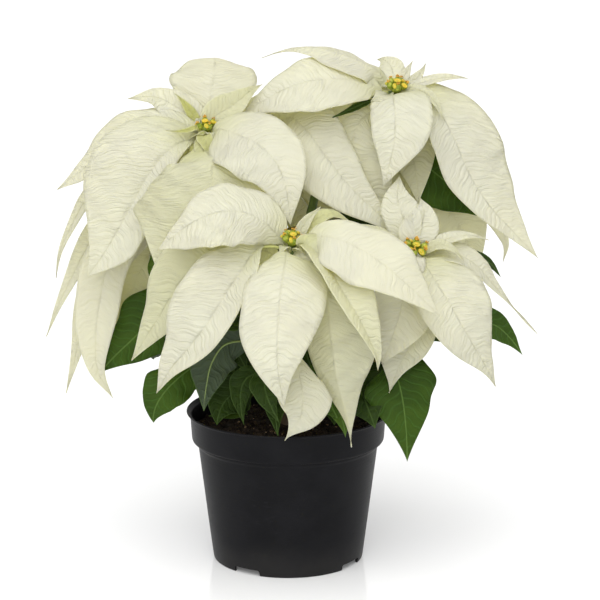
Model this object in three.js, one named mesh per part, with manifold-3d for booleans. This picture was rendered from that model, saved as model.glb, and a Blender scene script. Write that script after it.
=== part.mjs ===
// A potted white poinsettia: pot, potting mix, stems, flower centres, bracts and leaves.
// Millimetres, +Z up, the viewer on the -Y side. The middle of the pot's foot is the origin.
import * as THREE from "three";
import { mergeVertices } from "three/addons/utils/BufferGeometryUtils.js";
import Module from "manifold-3d";

const wasm = await Module();
wasm.setup();

// ---- Driving dimensions -------------------------------------------------------------------

const SEAT = 0.3; // the gap between pieces that touch

const POT_HEIGHT = 114;
const RIM_RADIUS = 76;
const RIM_BAND = 22; // how far the rim's band reaches down
const BAND_RADIUS = 72; // at the band's foot, where a thin lip alone reaches the rim's radius
const BODY_TOP_RADIUS = 67.4; // just under the band
const FOOT_RADIUS = 56.7;
const WALL = 1.6;
const FLOOR_HEIGHT = 7; // the floor's underside stands this far above the ground
const FLOOR_THICKNESS = 2;
const POT_SIDES = 48;
const FOOT_NOTCHES = 4;
const NOTCH_WIDTH = 22;
const NOTCH_HEIGHT = 4.5;
const NOTCH_DEPTH = 14;
const FIRST_NOTCH = -33; // degrees
const DRAIN_HOLES = 8;
const DRAIN_RADIUS = 4.5;
const DRAIN_CIRCLE = 40; // the holes' distance from the pot's axis
const DRAIN_SIDES = 12;

const SOIL_HEIGHT = 100;
const SOIL_MOUND = 3; // how much higher the mix is at the stem
const SOIL_CLEAR = 0.4; // a little more than the seat, for the flats of both lathes
const SOIL_SIDES = 36;
const ROOTED = 34; // how deep the main stem stands in the mix

const MAIN_STEM_RADIUS = 6.5;
const MAIN_STEM_TOP = 141;
const MAIN_STEM_SIDES = 12;
const BRANCH_RADIUS = 3.4;
const BRANCH_SIDES = 8;
const BRANCH_STEPS = 18;

const STALK_RADIUS = 1.5;
const BRACT_STALK = 0.07; // the share of the midrib that is bare stalk
const LEAF_STALK = 0.3;
const BLADE_HALF_THICKNESS = 0.55;
const RING_SIDES = 8; // corners of a blade's cross-section
const BLADE_STEPS = 9; // cross-sections along a blade
const TIP_HALF_WIDTH = 0.8;

// ---- Small helpers ------------------------------------------------------------------------

const vector = (numbers) => new THREE.Vector3(...numbers);
const radians = THREE.MathUtils.degToRad;

// A direction from its compass angle (0 is +X, 90 is +Y) and its angle above the horizon.
function direction([azimuth, elevation]) {
  const level = Math.cos(radians(elevation));
  return new THREE.Vector3(
    level * Math.cos(radians(azimuth)),
    level * Math.sin(radians(azimuth)),
    Math.sin(radians(elevation)),
  );
}

// three.js lathes turn around Y, so they are stood up along Z.
function lathe(points, sides) {
  const profile = points.map(([radius, height]) => new THREE.Vector2(radius, height));
  return new THREE.LatheGeometry(profile, sides).rotateX(Math.PI / 2);
}

function toSolid(geometry) {
  const bare = geometry.clone();
  bare.deleteAttribute("normal");
  bare.deleteAttribute("uv");
  const merged = mergeVertices(bare, 1e-4);
  const mesh = new wasm.Mesh({
    numProp: 3,
    vertProperties: new Float32Array(merged.attributes.position.array),
    triVerts: new Uint32Array(merged.index.array),
  });
  return new wasm.Manifold(mesh);
}

function toGeometry(solid) {
  const mesh = solid.getMesh();
  const geometry = new THREE.BufferGeometry();
  geometry.setAttribute("position", new THREE.BufferAttribute(mesh.vertProperties, 3));
  geometry.setIndex(new THREE.BufferAttribute(mesh.triVerts, 1));
  geometry.computeVertexNormals();
  return geometry;
}

// ---- Materials ----------------------------------------------------------------------------

const material = (name, color, roughness) =>
  new THREE.MeshStandardMaterial({ name, color, roughness, metalness: 0, side: THREE.DoubleSide });

const potPlastic = material("pot_plastic", 0x2b2b2f, 0.55);
const pottingMix = material("potting_mix", 0x241c17, 0.95);
const bractSkin = material("bract_cream", 0xecead8, 0.6);
const leafSkin = material("leaf_green", 0x2f5a1d, 0.5);
const stemSkin = material("stem_green", 0x4a5a26, 0.6);
const barkSkin = material("stem_bark", 0x5a4a32, 0.85);
const cyathiumSkin = material("cyathium_green", 0x7f9a2c, 0.5);

const poinsettia = new THREE.Group();

function add(name, geometry, skin) {
  const mesh = new THREE.Mesh(geometry, skin);
  mesh.name = name;
  poinsettia.add(mesh);
  return mesh;
}

// ---- The pot ------------------------------------------------------------------------------

const BAND_BOTTOM = POT_HEIGHT - RIM_BAND;
const FLOOR_TOP = FLOOR_HEIGHT + FLOOR_THICKNESS;

// The radius of the tapered body's outside at a height.
const bodyRadius = (height) =>
  FOOT_RADIUS + ((BODY_TOP_RADIUS - FOOT_RADIUS) * height) / (BAND_BOTTOM - 4);

// The inside of the pot from the rim down to the floor, which the potting mix lies against.
const innerWall = [
  [BAND_RADIUS + 0.2 - WALL, BAND_BOTTOM + 4],
  [BAND_RADIUS - 3.2, BAND_BOTTOM],
  [bodyRadius(BAND_BOTTOM - 4) - WALL, BAND_BOTTOM - 2.6],
  [bodyRadius(FLOOR_TOP + 3) - WALL, FLOOR_TOP + 3],
  [bodyRadius(FLOOR_TOP) - WALL - 3, FLOOR_TOP],
];

function potGeometry() {
  const profile = [
    [0, FLOOR_HEIGHT],
    [FOOT_RADIUS - 6, FLOOR_HEIGHT],
    [FOOT_RADIUS - 3, FLOOR_HEIGHT - 2],
    [FOOT_RADIUS - 2.6, 0],
    [FOOT_RADIUS - 0.4, 0],
    [FOOT_RADIUS, 1],
    [bodyRadius(BAND_BOTTOM - 4), BAND_BOTTOM - 4],
    [BODY_TOP_RADIUS + 2.2, BAND_BOTTOM - 2],
    [BAND_RADIUS - 0.6, BAND_BOTTOM],
    [BAND_RADIUS, BAND_BOTTOM + 1],
    [BAND_RADIUS + 1.3, POT_HEIGHT - 3],
    [RIM_RADIUS, POT_HEIGHT - 1.4],
    [RIM_RADIUS, POT_HEIGHT - 0.4],
    [RIM_RADIUS - 0.4, POT_HEIGHT],
    [BAND_RADIUS + 1.3 - WALL, POT_HEIGHT - 2],
    ...innerWall,
    [0, FLOOR_TOP],
  ];
  let solid = toSolid(lathe(profile, POT_SIDES));
  for (let i = 0; i < FOOT_NOTCHES; i += 1) {
    const notch = new THREE.BoxGeometry(NOTCH_DEPTH, NOTCH_WIDTH, 2 * NOTCH_HEIGHT);
    notch.translate(FOOT_RADIUS, 0, 0);
    notch.rotateZ(radians(FIRST_NOTCH + (i * 360) / FOOT_NOTCHES));
    solid = solid.subtract(toSolid(notch));
  }
  for (let i = 0; i < DRAIN_HOLES; i += 1) {
    const drill = new THREE.CylinderGeometry(DRAIN_RADIUS, DRAIN_RADIUS, 4 * FLOOR_THICKNESS, DRAIN_SIDES);
    drill.rotateX(Math.PI / 2);
    drill.translate(DRAIN_CIRCLE, 0, FLOOR_HEIGHT + FLOOR_THICKNESS / 2);
    drill.rotateZ(((i + 0.5) * 2 * Math.PI) / DRAIN_HOLES);
    solid = solid.subtract(toSolid(drill));
  }
  return toGeometry(solid);
}

// ---- The potting mix, with the hole that the main stem stands in --------------------------

function soilGeometry() {
  const hole = MAIN_STEM_RADIUS + SEAT;
  const underside = innerWall.map(([radius, height]) => [
    radius - SOIL_CLEAR,
    height + SOIL_CLEAR,
  ]);
  const profile = [
    [0, SOIL_HEIGHT - ROOTED],
    [hole, SOIL_HEIGHT - ROOTED],
    [hole, SOIL_HEIGHT + SOIL_MOUND],
    [20, SOIL_HEIGHT],
    [50, SOIL_HEIGHT + 1],
    [BAND_RADIUS + 0.4 - WALL - SOIL_CLEAR, SOIL_HEIGHT - 1],
    ...underside,
    [0, FLOOR_TOP + SOIL_CLEAR],
  ];
  return lathe(profile.reverse(), SOIL_SIDES);
}

// ---- Stems --------------------------------------------------------------------------------

// Each branch is a cubic curve. leaves is the height where it leaves the main stem, bends are
// two points that it leans to, top is the underside of its flower centre, and looks is the way
// that the flower centre looks.
const branches = {
  front: {
    leaves: 124, bends: [[2, -40, 148], [4, -58, 190]], top: [3, -53, 249], looks: [-70, 72],
  },
  right: {
    leaves: 118, bends: [[62, -8, 143], [92, -26, 185]], top: [91, -30, 237], looks: [-60, 68],
  },
  left: {
    leaves: 121, bends: [[-42, 14, 163], [-60, 30, 230]], top: [-61, 30, 318], looks: [-100, 78],
  },
  back_right: {
    leaves: 131, bends: [[14, 60, 280], [34, 62, 350]], top: [80, 40, 344], looks: [-70, 75],
  },
  back: {
    leaves: 116, bends: [[-18, 48, 152], [-8, 62, 230]], top: [-6, 60, 306], looks: [90, 78],
  },
};

function branchCurve(name) {
  const { leaves: height, bends, top } = branches[name];
  const [first, second] = bends.map(vector);
  const outward = new THREE.Vector3(first.x, first.y, 0).normalize();
  const leaving = new THREE.Vector3(first.x, first.y, first.z - height).normalize();
  const aslant = Math.sqrt(1 - leaving.dot(outward) ** 2);
  const start = outward.multiplyScalar(MAIN_STEM_RADIUS + SEAT + BRANCH_RADIUS * aslant);
  start.z = height;
  return new THREE.CubicBezierCurve3(start, first, second, vector(top));
}

function branchGeometry(branch) {
  const section = new THREE.Shape();
  section.absarc(0, 0, BRANCH_RADIUS, 0, 2 * Math.PI);
  return new THREE.ExtrudeGeometry(section, {
    steps: BRANCH_STEPS,
    curveSegments: BRANCH_SIDES,
    extrudePath: branchCurve(branch),
  });
}

function mainStemGeometry() {
  const bottom = SOIL_HEIGHT - ROOTED + SEAT;
  return lathe(
    [
      [0, bottom],
      [MAIN_STEM_RADIUS - 1, bottom],
      [MAIN_STEM_RADIUS, SOIL_HEIGHT],
      [MAIN_STEM_RADIUS, MAIN_STEM_TOP - 5],
      [MAIN_STEM_RADIUS - 2, MAIN_STEM_TOP - 1],
      [0, MAIN_STEM_TOP],
    ],
    MAIN_STEM_SIDES,
  );
}

// ---- Flower centres: small cups on a short green cushion ----------------------------------

const CUP_RADIUS = 2.7;
const CUP_HEIGHT = 7;
const CUPS_AROUND = 5;
const CUP_SIDES = 6;
const CUP_LEAN = 24; // degrees that the outer cups lean out
const CUP_CIRCLE = 3.7; // their distance from the middle one
const CUSHION_HEIGHT = 6.6;

function cupGeometry() {
  return lathe(
    [
      [0, 0],
      [0.6 * CUP_RADIUS, 0],
      [CUP_RADIUS, 0.45 * CUP_HEIGHT],
      [0.75 * CUP_RADIUS, 0.8 * CUP_HEIGHT],
      [0.3 * CUP_RADIUS, CUP_HEIGHT],
      [0, CUP_HEIGHT],
    ],
    CUP_SIDES,
  );
}

function flowerCentreGeometry() {
  const cushion = lathe([[0, 0], [BRANCH_RADIUS, 0], [5.2, 4], [4, 6], [0, CUSHION_HEIGHT]], 8);
  let solid = toSolid(cushion).add(toSolid(cupGeometry().translate(0, 0, 0.75 * CUSHION_HEIGHT)));
  for (let i = 0; i < CUPS_AROUND; i += 1) {
    const cup = cupGeometry();
    cup.rotateY(radians(CUP_LEAN));
    cup.translate(CUP_CIRCLE, 0, 0.4 * CUSHION_HEIGHT);
    cup.rotateZ((i * 2 * Math.PI) / CUPS_AROUND);
    solid = solid.add(toSolid(cup));
  }
  return toGeometry(solid);
}

// ---- Bracts and leaves --------------------------------------------------------------------

// One entry for each blade:
//   on     the branch that carries it
//   at     where on the branch its stalk starts, 0 at the main stem and 1 at the flower
//   mid    a point that the midrib passes half-way
//   tip    where the midrib ends
//   width  across the widest part
//   face   where its upper side looks at mid-length: compass angle, angle above the horizon
//   fold   how far each half is raised from flat, in degrees; a negative fold hangs down
//   hook   how far the last stretch of the tip is swept aside
const bracts = [
  // around the front flower
  { name: "front_1", on: "front", at: 0.985, mid: [-40, -62, 273], tip: [-90, -66, 250],
    width: 56, face: [-100, 50], fold: 5 },
  { name: "front_2", on: "front", at: 0.93, mid: [-70, -56, 222], tip: [-112, -50, 164],
    width: 48, face: [-112, 20], fold: 14 },
  { name: "front_3", on: "front", at: 0.96, mid: [-54, -88, 209], tip: [-93, -86, 151],
    width: 60, face: [-104, 32], fold: 12 },
  { name: "front_4", on: "front", at: 0.97, mid: [-1, -112, 204], tip: [-2, -112, 146],
    width: 56, face: [-90, 22], fold: -6 },
  { name: "front_5", on: "front", at: 0.92, mid: [33, -84, 200], tip: [42, -78, 112],
    width: 58, face: [-120, 10], fold: -28, hook: [-6, 0, -4] },
  { name: "front_6", on: "front", at: 0.965, mid: [43, -98, 208], tip: [62, -98, 162],
    width: 44, face: [-56, 18], fold: 28 },
  { name: "front_7", on: "front", at: 0.985, mid: [60, -84, 238], tip: [100, -90, 205],
    width: 58, face: [-84, 42], fold: 3 },
  { name: "front_8", on: "front", at: 0.82, mid: [14, -90, 160], tip: [0, -92, 114],
    width: 42, face: [-78, 4], fold: 8, hook: [-6, 0, 0] },
  // around the right flower
  { name: "right_1", on: "right", at: 0.965, mid: [126, -62, 200], tip: [151, -52, 147],
    width: 54, face: [-70, 22], fold: 5 },
  { name: "right_2", on: "right", at: 0.93, mid: [138, -26, 202], tip: [153, -22, 158],
    width: 42, face: [-40, 20], fold: 10 },
  { name: "right_3", on: "right", at: 0.985, mid: [142, -26, 224], tip: [185, -16, 175],
    width: 26, face: [-80, 56], fold: 26 },
  { name: "right_4", on: "right", at: 0.99, mid: [84, -16, 272], tip: [88, 4, 290],
    width: 28, face: [-95, 25], fold: 6 },
  { name: "right_5", on: "right", at: 0.90, mid: [84, -50, 200], tip: [70, -52, 164],
    width: 46, face: [-104, 8], fold: 8 },
  { name: "right_6", on: "right", at: 0.84, mid: [92, -38, 184], tip: [72, -44, 138],
    width: 46, face: [-95, 5], fold: 8 },
  // around the left flower
  { name: "left_1", on: "left", at: 0.985, mid: [-59, 66, 360], tip: [-58, 104, 346],
    width: 66, face: [-90, 44], fold: -5 },
  { name: "left_2", on: "left", at: 0.98, mid: [-92, 40, 339], tip: [-120, 34, 343],
    width: 32, face: [-100, 60], fold: 12 },
  { name: "left_3", on: "left", at: 0.985, mid: [-21, -6, 312], tip: [2, -36, 262],
    width: 64, face: [-80, 40], fold: 8 },
  { name: "left_4", on: "left", at: 0.94, mid: [-60, -30, 267], tip: [-84, -46, 204],
    width: 78, face: [-94, 20], fold: -8 },
  { name: "left_5", on: "left", at: 0.975, mid: [-120, 18, 313], tip: [-169, 10, 279],
    width: 54, face: [-112, 50], fold: 8 },
  { name: "left_6", on: "left", at: 0.955, mid: [-106, -6, 270], tip: [-132, -22, 222],
    width: 76, face: [-98, 30], fold: 8, hook: [-14, 0, -9] },
  { name: "left_7", on: "left", at: 0.90, mid: [-130, 6, 200], tip: [-142, 0, 130],
    width: 42, face: [-98, 8], fold: 8, hook: [9, 0, -6] },
  { name: "left_8", on: "left", at: 0.925, mid: [-138, 24, 212], tip: [-168, 18, 126],
    width: 30, face: [-110, 12], fold: 10 },
  { name: "left_9", on: "left", at: 0.945, mid: [-148, 48, 232], tip: [-182, 48, 160],
    width: 24, face: [-115, 20], fold: 14 },
  { name: "left_10", on: "left", at: 0.87, mid: [-108, 28, 214], tip: [-122, 26, 160],
    width: 44, face: [-92, 6], fold: 8 },
  // around the back right flower
  { name: "back_right_1", on: "back_right", at: 0.975, mid: [26, 75, 375], tip: [-19, 66, 370],
    width: 40, face: [-90, 86], fold: -10 },
  { name: "back_right_2", on: "back_right", at: 0.97, mid: [18, 31, 351], tip: [-34, 40, 332],
    width: 58, face: [-92, 54], fold: 6 },
  { name: "back_right_3", on: "back_right", at: 0.985, mid: [77, 68, 362], tip: [68, 84, 366],
    width: 20, face: [-90, 30], fold: 8 },
  { name: "back_right_4", on: "back_right", at: 0.99, mid: [82, 8, 327], tip: [70, -6, 288],
    width: 46, face: [-92, 32], fold: 5 },
  { name: "back_right_5", on: "back_right", at: 0.98, mid: [128, 22, 303], tip: [174, 12, 237],
    width: 62, face: [-66, 30], fold: 8, hook: [10, 0, -6] },
  { name: "back_right_6", on: "back_right", at: 0.992, mid: [55, 31.5, 306.5], tip: [69, 30, 278.5],
    width: 42, face: [-100, 9], fold: 6 },
  { name: "back_right_7", on: "back_right", at: 0.955, mid: [89, 43, 306.5], tip: [95, 19.5, 268.5],
    width: 36, face: [-90, 11], fold: 6 },
  { name: "back_right_8", on: "back_right", at: 0.965, mid: [137, 82, 280], tip: [160, 76, 222],
    width: 48, face: [-64, 12], fold: 8 },
  // around the back flower
  { name: "back_1", on: "back", at: 0.985, mid: [32, 8, 292], tip: [86, -12, 247],
    width: 70, face: [-84, 28], fold: 8 },
  { name: "back_2", on: "back", at: 0.963, mid: [54, 85.5, 274], tip: [82, 96, 226],
    width: 56, face: [22, 40], fold: 10 },
  { name: "back_3", on: "back", at: 0.985, mid: [0, 102, 286], tip: [8, 118, 228],
    width: 56, face: [86, 36], fold: 10 },
  { name: "back_4", on: "back", at: 0.95, mid: [-54, 92, 276], tip: [-86, 104, 224],
    width: 56, face: [136, 36], fold: 10 },
  { name: "back_5", on: "back", at: 0.9, mid: [30, 106, 222], tip: [44, 114, 164],
    width: 54, face: [70, 14], fold: 8 },
  { name: "back_6", on: "back", at: 0.9, mid: [-36, 106, 224], tip: [-46, 114, 160],
    width: 54, face: [110, 14], fold: 8 },
];

const leaves = [
  { name: "left_1", on: "left", at: 0.45, mid: [-106, 8, 174], tip: [-141, 4, 141],
    width: 56, face: [-98, 12], fold: 6 },
  { name: "left_2", on: "left", at: 0.30, mid: [-84, -22, 140], tip: [-99, -30, 112],
    width: 38, face: [-110, 25], fold: 10 },
  { name: "front_1", on: "front", at: 0.40, mid: [-58, -42, 158], tip: [-60, -56, 128],
    width: 34, face: [-80, -10], fold: 5 },
  { name: "front_2", on: "front", at: 0.24, mid: [-30, -34, 146], tip: [-32, -44, 114],
    width: 20, face: [-85, 20], fold: 8 },
  { name: "front_3", on: "front", at: 0.32, mid: [-16, -54, 150], tip: [-6, -66, 122],
    width: 22, face: [-95, 20], fold: 8 },
  { name: "front_4", on: "front", at: 0.45, mid: [24, -62, 152], tip: [38, -64, 124],
    width: 28, face: [-80, 10], fold: 8 },
  { name: "right_1", on: "right", at: 0.40, mid: [80, -30, 146], tip: [88, -40, 85],
    width: 54, face: [-80, 12], fold: 6 },
  { name: "right_2", on: "right", at: 0.60, mid: [146, 6, 184], tip: [177, 12, 153],
    width: 44, face: [-60, 35], fold: 8 },
  { name: "back_right_1", on: "back_right", at: 0.702, mid: [108.5, 48, 286.5], tip: [142.5, 44.5, 252.5],
    width: 48, face: [-83, 21], fold: 6 },
];

const smooth = (x) => {
  const t = Math.min(Math.max(x, 0), 1);
  return t * t * (3 - 2 * t);
};

// The share of the full width at s, which runs from the end of the stalk (0) to the tip (1).
const WIDEST = 0.38;
function widthShare(s) {
  const tail = 1.02;
  const head = (tail * WIDEST) / (1 - WIDEST);
  const peak = WIDEST ** head * (1 - WIDEST) ** tail;
  return (s ** head * (1 - s) ** tail) / peak;
}

// The midrib: a quadratic curve from the branch through the blade's middle to its tip.
function midrib(blade) {
  const curve = branchCurve(blade.on);
  const node = curve.getPoint(blade.at);
  const along = curve.getTangent(blade.at);
  const mid = vector(blade.mid);
  const tip = vector(blade.tip);
  const outward = mid.clone().sub(node);
  outward.addScaledVector(along, -outward.dot(along)).normalize();
  const bend = mid.clone().multiplyScalar(2).addScaledVector(node, -0.5).addScaledVector(tip, -0.5);
  const leaving = bend.clone().sub(node).normalize();
  const aslant = Math.sqrt(1 - leaving.dot(outward) ** 2);
  const reach = BRANCH_RADIUS + SEAT + STALK_RADIUS * aslant;
  const start = node.addScaledVector(outward, reach);
  const path = new THREE.QuadraticBezierCurve3(start, bend, tip);
  const hook = vector(blade.hook ?? [0, 0, 0]);
  return (t) => path.getPoint(t).addScaledVector(hook, smooth((t - 0.7) / 0.3));
}

// The first cross-section after the start ends the bare stalk, which is stalkShare of the midrib.
const STALK_STEP = 1 / BLADE_STEPS;

function bladeGeometry(blade, stalkShare) {
  const geometry = new THREE.CylinderGeometry(1, 1, 1, RING_SIDES, BLADE_STEPS);
  const place = midrib(blade);
  const look = direction(blade.face);
  const positions = geometry.attributes.position;
  const rise = Math.tan(radians(blade.fold));
  for (let i = 0; i < positions.count; i += 1) {
    const side = positions.getX(i);
    const over = positions.getZ(i);
    const v = positions.getY(i) + 0.5;
    const t = v < STALK_STEP
      ? (v / STALK_STEP) * stalkShare
      : stalkShare + ((v - STALK_STEP) / (1 - STALK_STEP)) * (1 - stalkShare);
    const s = Math.max(0, (t - stalkShare) / (1 - stalkShare));
    const isBlade = s > 0;
    const half = isBlade
      ? Math.max(TIP_HALF_WIDTH, (blade.width / 2) * widthShare(s))
      : STALK_RADIUS;
    const thick = isBlade ? BLADE_HALF_THICKNESS : STALK_RADIUS;
    const point = place(t);
    const along = place(Math.min(1, t + 0.01)).sub(place(Math.max(0, t - 0.01))).normalize();
    const normal = look.clone().addScaledVector(along, -look.dot(along)).normalize();
    const across = along.clone().cross(normal);
    const lift = isBlade ? half * rise * Math.abs(side) : 0;
    point.addScaledVector(across, half * side * Math.cos(radians(blade.fold)));
    point.addScaledVector(normal, lift + thick * over);
    positions.setXYZ(i, point.x, point.y, point.z);
  }
  geometry.computeVertexNormals();
  return geometry;
}

// ---- The whole plant ----------------------------------------------------------------------

add("pot", potGeometry(), potPlastic);
add("potting_mix", soilGeometry(), pottingMix);
add("main_stem", mainStemGeometry(), barkSkin);
for (const branch of Object.keys(branches)) {
  add(`branch_${branch}`, branchGeometry(branch), stemSkin);
  const centre = add(`flower_centre_${branch}`, flowerCentreGeometry(), cyathiumSkin);
  const up = direction(branches[branch].looks);
  const stemEnd = branchCurve(branch);
  const aslant = Math.sqrt(1 - stemEnd.getTangent(1).dot(up) ** 2);
  centre.position.copy(stemEnd.getPoint(1)).addScaledVector(up, SEAT + BRANCH_RADIUS * aslant);
  centre.quaternion.setFromUnitVectors(new THREE.Vector3(0, 0, 1), up);
}
for (const bract of bracts) {
  add(`bract_${bract.name}`, bladeGeometry(bract, BRACT_STALK), bractSkin);
}
for (const leaf of leaves) {
  add(`leaf_${leaf.name}`, bladeGeometry(leaf, LEAF_STALK), leafSkin);
}

export default poinsettia;
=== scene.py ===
# %% [markdown]
# # A potted white poinsettia
# This lesson builds a white poinsettia in a black nursery pot: the pot, the potting mix, the
# woody stem and its branches, the small green flower cups, a hundred cream bracts, large and
# small, and the dark green leaves below them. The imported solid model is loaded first. It fixes
# where every piece stands and how large it is, and each detailed piece made here takes the
# place of one of its plain solids.

# %% Load the fixed frame
import math
import random

import bpy
import numpy as np
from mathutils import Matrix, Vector


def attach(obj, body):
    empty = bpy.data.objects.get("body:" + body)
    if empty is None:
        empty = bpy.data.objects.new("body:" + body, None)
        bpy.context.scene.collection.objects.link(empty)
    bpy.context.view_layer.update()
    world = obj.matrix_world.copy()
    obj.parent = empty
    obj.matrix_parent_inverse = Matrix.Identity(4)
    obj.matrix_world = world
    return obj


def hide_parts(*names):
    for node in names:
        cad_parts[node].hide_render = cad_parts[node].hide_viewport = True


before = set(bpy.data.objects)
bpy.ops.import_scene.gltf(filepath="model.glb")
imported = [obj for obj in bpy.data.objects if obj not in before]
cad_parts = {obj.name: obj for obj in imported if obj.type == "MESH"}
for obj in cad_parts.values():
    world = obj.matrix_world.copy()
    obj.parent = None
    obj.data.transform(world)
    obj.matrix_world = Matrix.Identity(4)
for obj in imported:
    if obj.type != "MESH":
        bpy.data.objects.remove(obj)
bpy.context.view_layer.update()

MM = 0.001

# %% [markdown]
# ## Camera, light and floor
# A plant on a white table is lit by large soft sources, so that no bract throws a hard shadow.
# A long lens from a little above keeps the heads in their true proportions. A very broad sun
# high in front models the folds, because a sun lights every head alike. A weak lamp at the left
# and a large one in front fill the shadows. The room around is white at the horizon, dim above
# that and bright overhead, which leaves the dark gaps between the leaves dark.

# %% Camera
LENS_MM = 144
SENSOR_MM = 36
PITCH_DEG = 12.9
CAMERA_PLACE = (0.009, -1.735, 0.595)
camera_data = bpy.data.cameras.new("camera")
camera_data.lens = LENS_MM
camera_data.sensor_width = SENSOR_MM
camera_data.clip_end = 50
camera = bpy.data.objects.new("camera", camera_data)
camera.location = CAMERA_PLACE
camera.rotation_euler = (math.radians(90 - PITCH_DEG), 0, 0)
bpy.context.scene.collection.objects.link(camera)
bpy.context.scene.camera = camera
print("camera", [round(v, 3) for v in camera.location])

# %% Lamps
LAMPS_AIM = Vector((0, 0, 0.2))


def lamp(name, kind, power, place, **settings):
    """A lamp at a place in metres, turned towards the middle of the plant."""
    data = bpy.data.lights.new(name, kind)
    data.energy = power
    for key, value in settings.items():
        setattr(data, key, value)
    thing = bpy.data.objects.new(name, data)
    thing.location = place
    aim = LAMPS_AIM - Vector(place)
    thing.rotation_euler = aim.to_track_quat("-Z", "Y").to_euler()
    bpy.context.scene.collection.objects.link(thing)


lamp("overhead", "SUN", 1.8, (-0.2, -0.9, 1.9), angle=math.radians(62))
lamp("left_fill", "AREA", 0.8, (-1.7, -0.9, 0.95), size=0.9)
lamp("front_fill", "AREA", 19.0, (-0.1, -2.4, 1.1), size=1.4)

# %% The room around
ROOM = ((0.0, 1.0), (0.34, 0.92), (0.46, 0.38), (0.60, 0.60), (0.80, 0.95))
world = bpy.data.worlds.new("studio")
world.use_nodes = True
sky, links = world.node_tree.nodes, world.node_tree.links
heights = sky.new("ShaderNodeSeparateXYZ")
fade = sky.new("ShaderNodeValToRGB")
links.new(sky.new("ShaderNodeTexCoord").outputs["Generated"], heights.inputs[0])
links.new(heights.outputs["Z"], fade.inputs["Fac"])
stops = fade.color_ramp.elements
for spot, level in ROOM:
    stop = stops[0] if spot == 0.0 else stops.new(spot)
    stop.position, stop.color = spot, (level, level, level, 1)
stops.remove(stops[-1])
links.new(fade.outputs["Color"], sky["Background"].inputs["Color"])
bpy.context.scene.world = world
bpy.context.scene.view_settings.view_transform = "Standard"
print("room stops:", [round(stop.position, 2) for stop in stops])

# %% [markdown]
# ## Shader maths that reads like Python
# A material is a graph of nodes. Written out link by link it is hard to read, so two small
# classes do the wiring. A `Wire` is one value on its way through the graph, and `+`, `-` and
# `*` on it add the Math nodes. A `Skin` is one material, and its `node` method makes any other
# node: first its settings, then the values or wires that go into its sockets.

# %% The wire


class Wire:
    """One number on its way through a material."""

    def __init__(self, skin, socket):
        self.skin = skin
        self.socket = socket

    def maths(self, operation, first, second=None):
        inputs = {0: first} if second is None else {0: first, 1: second}
        return self.skin.wire("ShaderNodeMath", {"operation": operation}, inputs)

    def __add__(self, other):
        return self.maths("ADD", self, other)

    def __mul__(self, other):
        return self.maths("MULTIPLY", self, other)

    def __sub__(self, other):
        return self.maths("SUBTRACT", self, other)

    def __rsub__(self, other):
        return self.maths("SUBTRACT", other, self)

    __radd__ = __add__
    __rmul__ = __mul__

    def fraction(self):
        return self.maths("FRACT", self)

    def size(self):
        return self.maths("ABSOLUTE", self)


print("wire ready")

# %% The skin


class Skin:
    """One material and its node graph."""

    def __init__(self, name):
        self.material = bpy.data.materials.new(name)
        self.material.use_nodes = True
        self.tree = self.material.node_tree
        self.tree.nodes.clear()

    def node(self, kind, settings=None, inputs=None):
        made = self.tree.nodes.new(kind)
        for key, value in (settings or {}).items():
            setattr(made, key, value)
        for key, value in (inputs or {}).items():
            if isinstance(value, Wire):
                self.tree.links.new(value.socket, made.inputs[key])
            else:
                made.inputs[key].default_value = value
        return made

    def wire(self, kind, settings=None, inputs=None, output=0):
        return Wire(self, self.node(kind, settings, inputs).outputs[output])

    def attribute(self, name):
        return self.wire("ShaderNodeAttribute", {"attribute_name": name}, None, "Fac")

    def place(self):
        return self.wire("ShaderNodeTexCoord", None, None, "Object")

    def noise(self, vector, scale, detail=3.0, roughness=0.55):
        inputs = {"Vector": vector, "Scale": scale, "Detail": detail, "Roughness": roughness}
        return self.wire("ShaderNodeTexNoise", None, inputs, "Fac")

    def vector(self, x, y, z):
        return self.wire("ShaderNodeCombineXYZ", None, {0: x, 1: y, 2: z})

    def step(self, value, low, high, start=0.0, end=1.0):
        """Goes smoothly from start to end while the value goes from low to high."""
        settings = {"interpolation_type": "SMOOTHSTEP"}
        inputs = {"Value": value, "From Min": low, "From Max": high, "To Min": start, "To Max": end}
        return self.wire("ShaderNodeMapRange", settings, inputs)

    def blend(self, factor, first, second):
        """The first colour where the factor is 0, the second where it is 1."""
        inputs = {0: factor, 6: first, 7: second}
        return self.wire("ShaderNodeMix", {"data_type": "RGBA", "clamp_factor": True}, inputs, 2)

    def bump(self, height, strength, distance):
        inputs = {"Height": height, "Strength": strength, "Distance": distance}
        return self.wire("ShaderNodeBump", None, inputs)

    def surface(self, colour, roughness, normal, specular):
        inputs = {"Base Color": colour, "Roughness": roughness, "Specular IOR Level": specular}
        return self.wire("ShaderNodeBsdfPrincipled", None, {**inputs, "Normal": normal})

    def finish(self, shader):
        self.node("ShaderNodeOutputMaterial", None, {"Surface": shader})
        return self.material


def rgb(red, green, blue):
    return (red, green, blue, 1.0)


print("shader helpers ready")

# %% [markdown]
# ## The finish of a bract and of a leaf
# A bract is a coloured leaf. It is thin and matt, and light passes through it, so its shaded
# side glows yellow-green. Six numbers are stored on every blade when it is shaped, and the
# skins read them. `rib` counts along the side veins, so each whole number is a vein, `off` is
# the distance from the midrib and `rim` the distance from the margin, both in metres. `along`
# runs from 0 at the stalk to 1 at the tip. The fifth says how yellow that blade is: on a young
# blade that is its real greener colour, and on a blade in the shadow of others it is painted
# shade. `ripple` says how strongly it is wrinkled, and where it is low the colour is also
# darkened, as painted shade in place of the shading that the wrinkles would give. The cross
# wrinkles between two veins run across `off`, which keeps them square to the veins wherever
# the blade bends.

# %% Veins and wrinkles
BROAD_WRINKLES = (26.0, 2.6)
FINE_WRINKLES = (520.0, 5.0)
# The colour that a smooth blade is darkened towards: painted shade in place of the shading that its
# wrinkles would give.
SMOOTH_BLADE_PAINTED_SHADE = rgb(0.66, 0.65, 0.59)


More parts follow.
